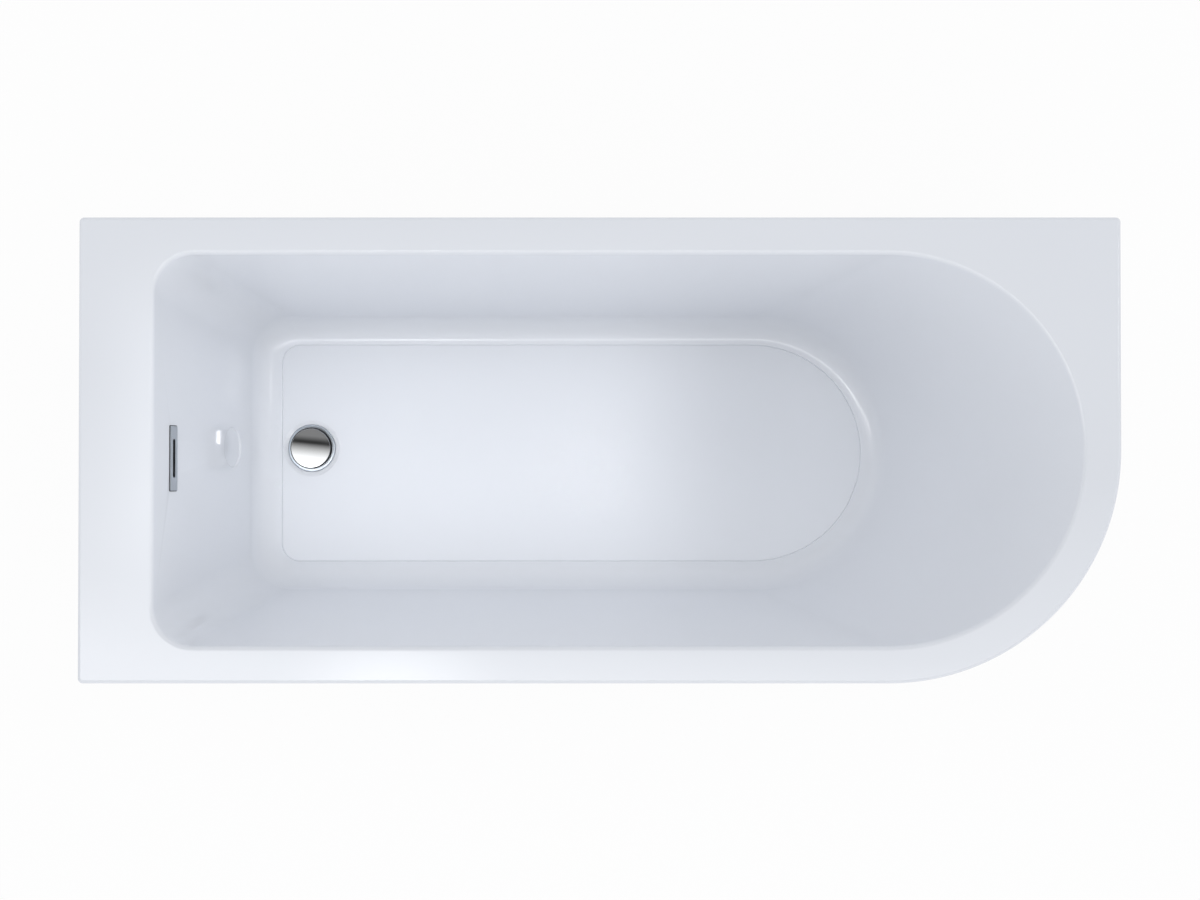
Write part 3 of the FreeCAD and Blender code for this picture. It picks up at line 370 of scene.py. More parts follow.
def gloss_acrylic(name):
    """Formed sanitary acrylic: a deep gloss over a cool white, with the sheet's slow waves."""
    finish = Finish(name, (0.80, 0.820, 0.862), 0.07, IOR=1.49)
    cloud = finish.noise(3.0, 2)
    finish.colour(finish.blend(cloud, (0.793, 0.814, 0.856), (0.808, 0.829, 0.869)))
    smear = finish.noise(26.0, 4, (1, 1.6, 1))
    finish.roughness(0.04 + smear * 0.03)
    wave = finish.noise(14.0, 1)
    peel = finish.noise(160.0, 1)
    return finish.bump(wave * 0.9 + peel * 0.1, 0.05 * MM, 0.6)


def glass_fibre():
    """Sprayed glass fibre: chopped strands set in cloudy resin."""
    finish = Finish("fibreglass", (0.66, 0.66, 0.60), 0.45)
    strands = [finish.cells(70.0, "DISTANCE_TO_EDGE", stretch=s) for s in ((1, 6, 2), (6, 1, 3), (3, 5, 1))]
    lines = 1 - strands[0].above(0.06, 0.05) * strands[1].above(0.06, 0.05) * strands[2].above(0.05, 0.05)
    cloud = finish.noise(9.0, 4)
    resin = finish.blend(cloud, (0.58, 0.58, 0.50), (0.72, 0.71, 0.63))
    finish.colour(finish.blend(lines * 0.55, resin, (0.84, 0.84, 0.79)))
    finish.roughness(0.32 + cloud * 0.3 - lines * 0.08)
    return finish.bump(lines * 0.5 + finish.noise(55.0, 5) * 1.2, 1.2 * MM)


def chipboard():
    """Raw particle board: packed flakes of several browns."""
    finish = Finish("chipboard", (0.58, 0.43, 0.27), 0.75)
    flake = finish.cells(330.0, output="Color", stretch=(1, 0.45, 1.5))
    tone = finish.node("ShaderNodeSeparateColor", inputs={"Color": flake})
    stops = [(0.0, (0.33, 0.21, 0.11)), (0.35, (0.52, 0.37, 0.22)), (0.75, (0.66, 0.51, 0.33)),
             (1.0, (0.76, 0.62, 0.43))]
    finish.colour(finish.node("ShaderNodeValToRGB", {"stops": stops}, {"Fac": tone}))
    finish.roughness(0.66 + tone * 0.2)
    return finish.bump(tone * 0.7 + finish.noise(700.0, 2) * 0.4, 0.35 * MM)


def softwood():
    """Planed pine: long growth rings, darker late wood and fine pores along the board."""
    finish = Finish("softwood", (0.70, 0.52, 0.32), 0.6)
    drift = finish.noise(6.0, 3, (0.25, 2, 2))
    inputs = {"Vector": finish.place((0.6, 1, 1), (0.15, 0.02, 0.04)), "Scale": 42.0, "Distortion": 3.5,
              "Detail": 2.0, "Detail Scale": 0.5}
    rings = finish.node("ShaderNodeTexWave", {"wave_type": "BANDS", "bands_direction": "Y"}, inputs, "Fac")
    pores = finish.noise(60.0, 3, (1, 24, 24))
    stops = [(0.0, (0.76, 0.60, 0.38)), (0.6, (0.70, 0.52, 0.31)), (0.88, (0.53, 0.34, 0.17)),
             (1.0, (0.46, 0.28, 0.13))]
    finish.colour(finish.node("ShaderNodeValToRGB", {"stops": stops}, {"Fac": rings * 0.8 + drift * 0.25}))
    finish.roughness(0.5 + pores * 0.25)
    return finish.bump(pores * 0.6 + rings * 0.3, 0.3 * MM)


def zinc_plate(name, colour, spangle):
    """Zinc on steel: faint crystals, a dull bloom and rubbed streaks."""
    finish = Finish(name, colour, 0.35, Metallic=1.0)
    crystal = finish.node("ShaderNodeSeparateColor", inputs={"Color": finish.cells(spangle, output="Color")})
    bloom = finish.noise(30.0, 4)
    dark = tuple(0.78 * part for part in colour)
    finish.colour(finish.blend(crystal * 0.35 + bloom * 0.5, dark, colour))
    finish.roughness(0.24 + crystal * 0.1 + bloom * 0.16)
    return finish.bump(finish.noise(420.0, 2, (1, 0.12, 1)), 0.04 * MM)


def polished_chrome():
    """Mirror chrome with a breath of haze and hair-fine rub marks, satin on the flange round the plug, whose
    blue tint is a painted reflection.
    """
    finish = Finish("polished_chrome", (0.80, 0.82, 0.84), 0.05, Metallic=1.0)
    haze = finish.noise(60.0, 4)
    middle = {0: finish.place((1, 1, 0)), 1: (DRAIN.x, DRAIN.y, 0)}
    away = finish.node("ShaderNodeVectorMath", {"operation": "DISTANCE"}, middle, "Value")
    flange = away.above(SEAT_RADIUS + 3.2 * MM, 0.1 * MM)
    mirror = finish.blend(haze, (0.79, 0.80, 0.81), (0.83, 0.84, 0.85))
    # The flange's blue tint is a painted reflection. Its satin roughness is real.
    finish.colour(finish.blend(flange, mirror, (0.74, 0.80, 0.87)))
    finish.roughness(0.03 + haze ** 3 * 0.08 + flange * 0.27)
    return finish.bump(finish.noise(900.0, 2, (0.08, 1, 1)), 0.004 * MM, 0.5)


def satin_chrome():
    """Chrome plate brushed along its length, a little dulled."""
    finish = Finish("satin_chrome", (0.47, 0.50, 0.53), 0.3, Metallic=1.0)
    strokes = finish.noise(1400.0, 3, (1, 0.02, 1))
    finish.colour(finish.blend(strokes, (0.39, 0.415, 0.445), (0.50, 0.525, 0.56)))
    finish.roughness(0.22 + strokes * 0.16)
    return finish.bump(strokes, 0.02 * MM)


def turned_brass():
    """Brass with the rings of the lathe tool and a brown bloom."""
    finish = Finish("turned_brass", (0.72, 0.53, 0.25), 0.3, Metallic=1.0)
    bloom = finish.noise(90.0, 4)
    finish.colour(finish.blend(bloom, (0.58, 0.40, 0.17), (0.76, 0.58, 0.29)))
    rings = finish.noise(900.0, 2, (0.02, 0.02, 1))
    finish.roughness(0.2 + bloom * 0.2 + rings * 0.08)
    return finish.bump(rings, 0.03 * MM)


def black_rubber():
    """Moulded rubber with a dusty bloom."""
    finish = Finish("black_rubber", (0.02, 0.02, 0.022), 0.7, Specular_IOR_Level=0.15)
    bloom = finish.noise(70.0, 5)
    finish.colour(finish.blend(bloom, (0.012, 0.012, 0.014), (0.034, 0.034, 0.036)))
    finish.roughness(0.55 + bloom * 0.3)
    return finish.bump(finish.noise(900.0, 3), 0.05 * MM)


def moulded_plastic(name, colour, gloss, grain=500.0):
    """Injection-moulded plastic with a fine spark texture and slight flow shading."""
    finish = Finish(name, colour, gloss)
    flow = finish.noise(18.0, 3)
    dark = tuple(0.9 * part for part in colour)
    finish.colour(finish.blend(flow, dark, colour))
    speck = finish.noise(grain, 3)
    finish.roughness(gloss - 0.06 + speck * 0.14)
    return finish.bump(speck, 0.05 * MM)


FINISHES = {
    "acrylic": gloss_acrylic("gloss_acrylic"),
    "apron_acrylic": gloss_acrylic("apron_acrylic"),
    "fibreglass": glass_fibre(),
    "board": chipboard(),
    "timber": softwood(),
    "zinc_steel": zinc_plate("zinc_sheet", (0.63, 0.645, 0.66), 110.0),
    "fastener_steel": zinc_plate("zinc_fastener", (0.58, 0.585, 0.58), 600.0),
    "chrome": polished_chrome(),
    "satin_chrome": satin_chrome(),
    "brass": turned_brass(),
    "rubber": black_rubber(),
    "waste_plastic": moulded_plastic("waste_plastic", (0.74, 0.745, 0.74), 0.34),
    "hose_plastic": moulded_plastic("hose_plastic", (0.50, 0.51, 0.52), 0.42),
    "nut_plastic": moulded_plastic("nut_plastic", (0.72, 0.72, 0.71), 0.36),
    "pad_plastic": moulded_plastic("pad_plastic", (0.035, 0.035, 0.038), 0.5, 800.0),
}
for node_name, node_object in frame["nodes"].items():
    node_object.data.materials.clear()
    node_object.data.materials.append(FINISHES[NODE_SLOTS[node_name]].material)


# Mesh tools


def nearest_face(bm, spot):
    """The face whose middle is nearest to a spot."""
    return min(bm.faces, key=lambda face: (face.calc_center_median() - spot).length)


def make_piece(bm, name, node, body="bath", sharp=32, shows=None):
    """Makes a piece of a bmesh. It stands for a node, takes its slot's finish and rides on a body. Where shows
    is a spot and a way, the piece is turned so that its face nearest to the spot looks that way."""
    bmesh.ops.remove_doubles(bm, verts=bm.verts, dist=MERGE)
    bmesh.ops.recalc_face_normals(bm, faces=bm.faces)
    if shows:
        spot, way = shows
        if nearest_face(bm, spot).normal.dot(way) < 0:
            bmesh.ops.reverse_faces(bm, faces=bm.faces)
    mesh = bpy.data.meshes.new(name)
    bm.to_mesh(mesh)
    bm.free()
    mesh.polygons.foreach_set("use_smooth", [True] * len(mesh.polygons))
    mesh.set_sharp_from_angle(angle=math.radians(sharp))
    slot = NODE_SLOTS[node]
    mesh.materials.append(FINISHES[slot].material)
    piece = bpy.data.objects.new(name, mesh)
    bpy.context.scene.collection.objects.link(piece)
    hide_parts(node)
    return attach(piece, body)


def even_shading(piece):
    """Lets broad flat faces set the shading beside narrow roundings."""
    weighted = piece.modifiers.new("shading", "WEIGHTED_NORMAL")
    weighted.keep_sharp = True
    return piece


def make_skin(bm, name, node, wall, spot, way):
    """Makes a piece of an open skin with a wall behind it. Its face nearest to a spot looks a given way."""
    piece = make_piece(bm, name, node, sharp=50, shows=(spot, way))
    solid = piece.modifiers.new("wall", "SOLIDIFY")
    solid.thickness = wall
    solid.offset = -1
    solid.use_even_offset = True
    solid.use_quality_normals = True
    return even_shading(piece)


def path(bm, corners, z, closed=True):
    """Edges through corners at one height, anticlockwise. A corner is x, y, and where it is round, the radius
    and steps of its quarter circle."""
    old_edges, old_verts = set(bm.edges), set(bm.verts)
    points = [Vector((corner[0], corner[1], z)) for corner in corners]
    ends = []
    for index, corner in enumerate(corners):
        here = points[index]
        if len(corner) == 2:
            only = bm.verts.new(here)
            ends.append((only, only))
            continue
        radius, steps = corner[2:]
        into = (here - points[index - 1]).normalized()
        out = (points[(index + 1) % len(points)] - here).normalized()
        first = bm.verts.new(here - into * radius)
        spun = bmesh.ops.spin(bm, geom=[first], cent=here + (out - into) * radius, axis=UP, angle=QUARTER,
                              steps=steps)
        last = next(part for part in spun["geom_last"] if isinstance(part, bmesh.types.BMVert))
        ends.append((first, last))
    following = ends[1:] + ends[:1] if closed else ends[1:]
    for (_, last), (first, _) in zip(ends, following):
        if (first.co - last.co).length > MERGE:
            bm.edges.new((last, first))
    bmesh.ops.remove_doubles(bm, verts=[v for v in bm.verts if v not in old_verts], dist=MERGE)
    return [edge for edge in bm.edges if edge not in old_edges]


def ends_of(edges):
    """The vertices of some edges."""
    return list({vert for edge in edges for vert in edge.verts})


def circle(bm, radius, steps, matrix):
    """A closed ring of edges."""
    made = bmesh.ops.create_circle(bm, radius=radius, segments=steps, matrix=matrix)
    return list({edge for vert in made["verts"] for edge in vert.link_edges})


def bridge(bm, loops):
    """Joins each loop of edges to the next."""
    faces = []
    for one, other in zip(loops, loops[1:]):
        faces += bmesh.ops.bridge_loops(bm, edges=one + other)["faces"]
    return faces


def fill(bm, *loops, normal=UP):
    """Fills a flat outline, less any outlines inside it."""
    edges = [edge for loop in loops for edge in loop]
    bmesh.ops.triangle_fill(bm, use_beauty=True, edges=edges, normal=normal)


def moved(bm, edges, matrix):
    """Edges put in place by a matrix."""
    bmesh.ops.transform(bm, matrix=matrix, verts=ends_of(edges))
    return edges


def near(start, z, *offsets):
    """Pairs of a distance and a height, from their offsets in millimetres from one such pair."""
    return [(start + out * MM, z + up * MM) for out, up in offsets]


def turn(bm, profile, centre, steps=PLAIN_STEPS, climb=0.0):
    """Turns an open chain of pairs of radius and height right round an upright axis, closed or climbing."""
    verts = [bm.verts.new((centre.x + radius, centre.y, z)) for radius, z in profile]
    edges = [bm.edges.new(pair) for pair in zip(verts, verts[1:])]
    bmesh.ops.spin(bm, geom=verts + edges, cent=(centre.x, centre.y, 0), axis=UP, angle=2 * math.pi,
                   steps=steps, dvec=UP * climb / steps, use_merge=not climb)


def soften(bm, width):
    """Rounds every clear fold between two faces."""
    edges = [e for e in bm.edges if len(e.link_faces) == 2 and e.calc_face_angle(0) > SOFT_FOLD]
    bmesh.ops.bevel(bm, geom=edges, offset=width, affect="EDGES", segments=2, profile=0.5, material=-1,
                    clamp_overlap=True)


def close_ends(bm):
    """Closes every open end of a skin."""
    bmesh.ops.remove_doubles(bm, verts=bm.verts, dist=MERGE)
    bmesh.ops.holes_fill(bm, edges=[edge for edge in bm.edges if edge.is_boundary])


def level(centre, z):
    """The frame of a spot over a centre at a height."""
    return Matrix.Translation((centre.x, centre.y, z))


def add_bar(bm, place, size):
    """Adds a plain bar, put in place by a matrix. Gives back its vertices."""
    return bmesh.ops.create_cube(bm, size=1, matrix=place @ Matrix.Diagonal((*size, 1)))["verts"]


def rectangle(bm, half_x, half_y, corner, z):
    """Edges of a rectangle with round corners, about the origin at a height."""
    signs = ((-1, -1), (1, -1), (1, 1), (-1, 1))
    return path(bm, [(x * half_x, y * half_y, corner, SMALL_STEPS) for x, y in signs], z)


def overflow_slot(bm, margin, z=0.0):
    """The outline of the overflow's slot, which has round ends, with a margin round it."""
    half_height = OVERFLOW_SLOT_HEIGHT / 2 + margin
    return rectangle(bm, half_height, OVERFLOW_SLOT / 2 + margin, half_height, z)


def overflow_edge(bm, margin, corner, z):
    """The outline of the overflow's plate with a margin round it."""
    return rectangle(bm, OVERFLOW_HEIGHT / 2 + margin, OVERFLOW_LENGTH / 2 + margin, corner + margin, z)


def quarter_round(radius):
    """Steps round a quarter circle, as pairs of distances from its two sides."""
    angles = [QUARTER * step / ROUND_STEPS for step in range(ROUND_STEPS + 1)]
    return [(radius * (1 - math.cos(angle)), radius * (1 - math.sin(angle))) for angle in angles]


def copied(node):
    """A merged copy of a node's mesh."""
    bm = bmesh.new()
    bm.from_mesh(frame["nodes"][node].data)
    bmesh.ops.remove_doubles(bm, verts=bm.verts, dist=MERGE)
    return bm


# Tub


def wall_inset(lean, height, radius):
    """How far a leaning wall with a rounded foot stands inside its line at the floor, at a height over it."""
    tilt = math.atan(lean / TUB_DEPTH)
    if height >= radius * (1 - math.sin(tilt)):
        return -height * math.tan(tilt)
    share = 1 - height / radius
    return radius * math.tan((QUARTER - tilt) / 2) - radius * math.sqrt(1 - share * share)


def wall_run(lean, z, offset):
    """How far out from its line at the tub's floor a wall lies at a height, with both its roundings, where
    the whole form is moved out by an offset."""
    if not offset and RIM_Z - z < RIM_ROUND:
        return lean + wall_inset(lean, RIM_Z - z, RIM_ROUND)
    return offset - lean * offset / TUB_DEPTH - wall_inset(lean, z - FLOOR_Z + offset, FLOOR_ROUND + offset)


def round_end(left, right, half, corner):
    """The tub's outline in plan: two rounded corners at the tap end and a half circle at the other."""
    return [(left, -half, corner, CORNER_STEPS), (right, -half, half, WIDE_STEPS),
            (right, half, half, WIDE_STEPS), (left, half, corner, CORNER_STEPS)]


def tub_plan(z, offset=0.0):
    """The outline of the tub at a height: of its inside, or of the form moved out by an offset."""
    share = (z - FLOOR_Z) / TUB_DEPTH
    tap, side, head = (wall_run(lean, z, offset) for lean in (TAP_END_LEAN, SIDE_LEAN, BACKREST_LEAN))
    corner = FLOOR_CORNER + (OPENING_CORNER - FLOOR_CORNER) * share + tap - TAP_END_LEAN * share
    return round_end(OPENING_LEFT + TAP_END_LEAN - tap, OPENING_RIGHT - BACKREST_LEAN + head,
                     OPENING_HALF - SIDE_LEAN + side, corner)


def foot_rings(bm, offset=0.0):
    """Rings down the rounded foot of the tub's walls to its floor."""
    rings, steps = [], 2 * ROUND_STEPS
    for step in range(steps, -1, -1):
        rise = (FLOOR_ROUND + offset) * (1 - math.cos(FLOOR_ARC * step / steps))
        rings.append(path(bm, tub_plan(FLOOR_Z - offset + rise, offset), FLOOR_Z - offset + rise))
    return rings


def tap_wall_opened(bm, walls, *holes, normal):
    """Takes the broad tap-end face out of some walls and fills it again round holes."""
    tap_wall = min(walls, key=lambda face: face.calc_center_median().x)
    border = list(tap_wall.edges)
    bmesh.ops.delete(bm, geom=[tap_wall], context="FACES_ONLY")
    fill(bm, border, *holes, normal=normal)


def rim_plan(inset):
    """The rim's outline in plan, moved in by an inset."""
    small = max(SQUARE_CORNER - inset, LEAST_CORNER)
    return [(LEFT + inset, FRONT + inset, small, SMALL_STEPS),
            (RIGHT - inset, FRONT + inset, ROOM_CORNER - inset, WIDE_STEPS),
            (RIGHT - inset, BACK - inset, small, SMALL_STEPS),
            (LEFT + inset, BACK - inset, small, SMALL_STEPS)]


def on_tap_wall(drop, y, out=0.0, tip=0.0):
    """The frame of a spot on the tap-end wall: its X points down the wall and its Z into the tub."""
    spot = Vector((OPENING_LEFT + TAP_END_LEAN * drop / TUB_DEPTH, y, RIM_Z - drop))
    turned = Matrix.Rotation(QUARTER - WALL_TILT, 4, "Y")
    lean = Matrix.Rotation(tip, 4, "Y")
    return Matrix.Translation(spot) @ turned @ Matrix.Translation((0, 0, out)) @ lean


OVERFLOW_PLACE = on_tap_wall(OVERFLOW_DROP, OVERFLOW_Y)


def moulded_flat(bm):
    """The round recess in the tap-end wall, deeper at its foot. Gives back its outer ring."""
    tip = math.asin((FLAT_FOOT_RECESS - FLAT_RECESS) / (2 * FLAT_RADIUS))
    depth = (FLAT_FOOT_RECESS + FLAT_RECESS) / 2
    wall = on_tap_wall(FLAT_DROP, FLAT_Y)
    floor = on_tap_wall(FLAT_DROP, FLAT_Y, out=-depth, tip=tip)
    rings = []
    for spread, matrix in ((1, wall), (-0.2, wall.lerp(floor, 0.25)), (-1, wall.lerp(floor, 0.8)),
                           (-3, floor)):
        rings.append(circle(bm, FLAT_RADIUS + spread * FLAT_EDGE, FLAT_STEPS, matrix))
    bridge(bm, rings)
    fill(bm, rings[-1], normal=floor.col[2].to_3d())
    return rings[0]


def waste_dish(bm):
    """The round dish in the floor round the waste. Gives back its outer ring."""
    low, brim, foot = PANEL_Z - DISH_DEPTH, DISH_RADIUS + DISH_EDGE, DISH_RADIUS - DISH_SLOPE
    fallen = PANEL_Z - (brim - foot) * math.tan(DISH_TILT)
    profile = near(brim, PANEL_Z, (0, 0), (-0.5, -0.06), (-1, -0.28))
    profile += near(foot, fallen, (0.3, 0), (0, -0.2)) + near(foot, low, (-0.5, 0.3), (-0.9, 0))
    profile.append((WASTE_HOLE, low))
    turn(bm, profile, DRAIN, FINE_STEPS)
    return [edge for edge in bm.edges if edge.is_boundary
            and all(abs((vert.co - DRAIN).xy.length - brim) < MERGE for vert in edge.verts)]


def rim_rings(bm):
    """Rings up the lip and over its rounded edge to the rim's flat top."""
    lip = path(bm, rim_plan(0), RIM_Z - LIP_DEPTH)
    return [lip] + [path(bm, rim_plan(inset), RIM_Z - drop) for inset, drop in quarter_round(EDGE_ROUND)]


def opening_rings(bm):
    """Rings from the rim's top over the rounded edge of the tub's opening."""
    heights = [RIM_Z - drop for drop, _ in quarter_round(RIM_ROUND)]
    return [path(bm, tub_plan(z), z) for z in heights]


def crease_rings(bm):
    """Rings through the fine crease between the walls' foot and the lower floor panel."""
    (left, _, corner, _), (right, *_), (_, half, *_), _ = tub_plan(FLOOR_Z)
    rings = []
    for inset, z in near(0, FLOOR_Z, *FLOOR_CREASE):
        plan = round_end(left + inset, right - inset, half - inset, corner - inset)
        rings.append(path(bm, plan, z))
    return rings


def make_bath_shell():
    """The formed tub: lip, rim, leaning walls, rounded foot, stepped floor and waste dish."""
    bm = bmesh.new()
    rim, upper = rim_rings(bm), opening_rings(bm)
    bridge(bm, rim)
    bridge(bm, upper)
    fill(bm, rim[-1], upper[0])

    lower = foot_rings(bm) + crease_rings(bm)
    bridge(bm, lower)
    fill(bm, lower[-1], waste_dish(bm))

    walls = bridge(bm, [upper[-1], lower[0]])
    slot = moved(bm, overflow_slot(bm, OVERFLOW_NECK + OVERFLOW_CLEAR), OVERFLOW_PLACE)
    tap_wall_opened(bm, walls, slot, moulded_flat(bm), normal=OVERFLOW_PLACE.col[2].to_3d())
    rim_middle = Vector((LEFT + DECK_WIDTH / 2, 0, RIM_Z))
    return make_skin(bm, "tub_and_rim", "bath_shell", SHEET, rim_middle, UP)


make_bath_shell()


def make_laminate():
    """The glass-fibre backing sprayed on the tub's outside, open at the waste and the overflow."""
    bm = bmesh.new()
    top_z = RIM_Z - BACKING_DROP
    rings = foot_rings(bm, BACKING_OUTSIDE)
    bridge(bm, rings)
    under_z = FLOOR_Z - BACKING_OUTSIDE
    fill(bm, rings[-1], circle(bm, BACKING_WASTE, PLAIN_STEPS, level(DRAIN, under_z)))
    bridge(bm, [path(bm, tub_plan(top_z, BACKING_OUTSIDE), top_z), rings[0]])
    low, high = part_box("overflow_body")
    notch_foot = low.z - BACKING_CLEAR
    notch = Vector((low.x, OVERFLOW_Y, (notch_foot + top_z) / 2))
    cuts = [((0, y, 0), (0, 1, 0)) for y in (low.y - BACKING_CLEAR, high.y + BACKING_CLEAR)]
    for spot, way in (*cuts, ((0, 0, notch_foot), UP)):
        face = nearest_face(bm, notch)
        bmesh.ops.bisect_plane(bm, geom=[face, *face.edges, *face.verts], plane_co=spot, plane_no=way)
    bmesh.ops.delete(bm, geom=[nearest_face(bm, notch)], context="FACES")
    return make_skin(bm, "laminate", "fibreglass_backing", BACKING_WALL, UP * under_z, -UP)


def apron_chain(bm, set_back, z):
    """An open line along the front, round the room corner and along the backrest end."""
    return path(bm, [(LEFT + APRON_SET_BACK, FRONT + set_back),
                     (RIGHT - set_back, FRONT + set_back, ROOM_CORNER - set_back, WIDE_STEPS),
                     (RIGHT - set_back, BACK - APRON_SET_BACK)], z, closed=False)


def make_apron():
    """The bent skirt, leaning in to its foot and turned in to a flange there."""
    bm = bmesh.new()
    low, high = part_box("front_apron")
    foot = APRON_SET_BACK + APRON_TAPER
    chains = [apron_chain(bm, APRON_SET_BACK, high.z)]
    for inset, rise in quarter_round(APRON_ROUND):
        chains.append(apron_chain(bm, foot + inset, low.z + rise))
    chains.append(apron_chain(bm, foot + APRON_FLANGE, low.z + FLANGE_RISE))
    bridge(bm, chains)
    front_middle = Vector((0, FRONT + APRON_SET_BACK + APRON_TAPER / 2, RIM_Z / 2))
    return make_skin(bm, "apron", "front_apron", APRON_WALL, front_middle, Vector((0, -1, 0)))


make_laminate()
make_apron()


# Boards


def make_board(node):
    """A sawn board with its edges broken."""
    bm = copied(node)
    bmesh.ops.dissolve_limit(bm, angle_limit=FLAT_FOLD, verts=bm.verts, edges=bm.edges)
    soften(bm, BOARD_EDGE)
    return even_shading(make_piece(bm, node + "_sawn", node))


for board in ("base_board", "back_rim_batten", "front_rim_batten", "tap_deck_board", "corner_gusset",
              "apron_plinth_batten"):
    make_board(board)


# Legs

FEET = [body.removeprefix("foot_") for body in frame["bodies"] if body.startswith("foot_")]


def make_channel(node):
    """A folded leg channel, open below."""
    low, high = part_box(node)
    half, height = (high.x - low.x) / 2, high.z - low.z
    bm = bmesh.new()
    bend = (CHANNEL_BEND, SMALL_STEPS)
    corners = [(half, 0), (half, height, *bend), (-half, height, *bend), (-half, 0)]
    section = path(bm, corners, 0, closed=False)
    upright = Matrix.Translation(((low.x + high.x) / 2, high.y, low.z)) @ Matrix.Rotation(QUARTER, 4, "X")
    moved(bm, section, upright)
    drawn = bmesh.ops.extrude_edge_only(bm, edges=section)["geom"]
    bmesh.ops.translate(bm, verts=[part for part in drawn if isinstance(part, bmesh.types.BMVert)],
                        vec=(0, low.y - high.y, 0))
    web = Vector(((low.x + high.x) / 2, 0, high.z))
    return make_skin(bm, node + "_folded", node, CHANNEL_SHEET, web, UP)


for node_name in ("leg_channel_tap_end", "leg_channel_middle", "leg_channel_head_end"):
    make_channel(node_name)


def make_rod(foot):
    """A threaded rod: a zigzag section driven round and up by one pitch a turn, over a plain core."""
    node = "foot_rod_" + foot
    centre, radius, low, high = round_box(node)
    bm = bmesh.new()
    start, stop = low + THREAD_PITCH, high - 2 * THREAD_PITCH
    halves = 2 * int((stop - start) / THREAD_PITCH)
    zigzag = [(radius - THREAD_DEPTH * (1 - half % 2), start + half * THREAD_PITCH / 2)
              for half in range(halves + 1)]
    turn(bm, zigzag, centre, THREAD_STEPS, climb=THREAD_PITCH)
    close_ends(bm)
    core = radius - THREAD_DEPTH - CORE_GAP
    plain = [(0, low), (core, low), (core, high - ROD_TIP), (core - ROD_TIP, high), (0, high)]
    turn(bm, plain, centre, COARSE_STEPS)
    return make_piece(bm, node + "_threaded", node, "foot_" + foot, sharp=40)


def make_pad(foot):
    """A round levelling pad with a waisted neck and grip ribs."""
    node = "foot_pad_" + foot
    centre, radius, low, high = round_box(node)
    bm = bmesh.new()
    neck, seat = PAD_NECK, low + PAD_FLOOR
    profile = [(0, low)] + near(radius, low, (-1, 0), (0, 1), (0, 4.2), (-0.8, 5))
    profile += near(neck, low, (5, 7.2), (1.6, 9.5), (0, 13)) + near(neck, high, (0, -0.7), (-0.7, 0))
    turn(bm, profile + [(PAD_SOCKET, high), (PAD_SOCKET, seat), (0, seat)], centre)
    length = radius - neck - RIB_SET_BACK
    for rib in range(PAD_RIBS):
        at = Matrix.Translation(centre) @ Matrix.Rotation(2 * math.pi * rib / PAD_RIBS, 4, "Z")
        place = at @ Matrix.Translation((neck - SINK + length / 2, 0, seat - centre.z))
        for vert in add_bar(bm, place, (length, RIB_WIDTH, RIB_HEIGHT)):
            local = at.inverted() @ vert.co
            if local.x > neck + length / 2 and local.z > seat - centre.z:
                vert.co.z = low + RIB_END
    return make_piece(bm, node + "_moulded", node, "foot_" + foot, sharp=35)


for foot in FEET:
    make_rod(foot)
    make_pad(foot)


def on_each_rod(node, height):
    """The centre, foot and top of each nut or washer, one low and one high on every foot's rod."""
    low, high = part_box(node)
    centres = [middle_of("foot_rod_" + foot) for foot in FEET]
    return [(centre, z, z + height) for centre in centres for z in (low.z, high.z - height)]


def make_nuts():
    """Hexagon nuts above and below each channel, with turned chamfers and plain bores."""
    bm = bmesh.new()
    face, corners = NUT_FLATS / 2 - NUT_FACE_INSET, NUT_FLATS / math.sqrt(3)
    for centre, z, top in on_each_rod("leg_lock_nuts", NUT_HEIGHT):
        outline = [(face, BORE_STEPS, z), (corners, NUT_SIDES, z + NUT_CHAMFER),
                   (corners, NUT_SIDES, top - NUT_CHAMFER), (face, BORE_STEPS, top)]
        rings = [circle(bm, radius, steps, level(centre, at)) for radius, steps, at in outline]
        bore = [circle(bm, ROD_HOLE, BORE_STEPS, level(centre, end)) for end in (z, top)]
        bridge(bm, rings)
        bridge(bm, bore)
        fill(bm, rings[0], bore[0])
        fill(bm, rings[-1], bore[1])
    return make_piece(bm, "lock_nuts", "leg_lock_nuts", sharp=20)


def make_washers():
    """Flat washers between the nuts and the channels."""
    bm = bmesh.new()
    for centre, z, top in on_each_rod("leg_washers", WASHER):
        profile = [(ROD_HOLE, z)] + near(WASHER_RADIUS, z, (-0.3, 0), (0, 0.3))
        profile += near(WASHER_RADIUS, top, (0, -0.4), (-0.4, 0)) + [(ROD_HOLE, top), (ROD_HOLE, z)]
        turn(bm, profile, centre, WASHER_STEPS)
    return make_piece(bm, "washers", "leg_washers")


make_nuts()
make_washers()


# Waste and plug


def make_plug_cap():
    """The polished click plug: a shallow dome with a rolled edge."""
    centre, whole, low, high = round_box("plug_cap")
    # The dome stops short of the seal's lip, so the dark lip shows round it as a painted shadow line.
    radius, edge = whole - SHADOW_LINE_LIP, high - PLUG_CROWN
    profile = [(0, low + 0.6 * MM)]
    profile += near(radius, low, (-2.2, 0.6), (-1.6, 0), (-0.9, 0), (-0.25, 0.3), (0, 1))
    profile += near(radius, edge, (0, -0.6), (-0.1, -0.25))
    ball = (radius * radius + PLUG_CROWN * PLUG_CROWN) / (2 * PLUG_CROWN)
    widest = math.asin((radius - 0.4 * MM) / ball)
    for step in range(DOME_STEPS + 1):
        angle = widest * (1 - step / DOME_STEPS)
        profile.append((ball * math.sin(angle), high - ball * (1 - math.cos(angle))))
    bm = bmesh.new()
    turn(bm, profile, centre, MIRROR_STEPS)
    return even_shading(make_piece(bm, "plug_dome", "plug_cap", "plug", sharp=30))


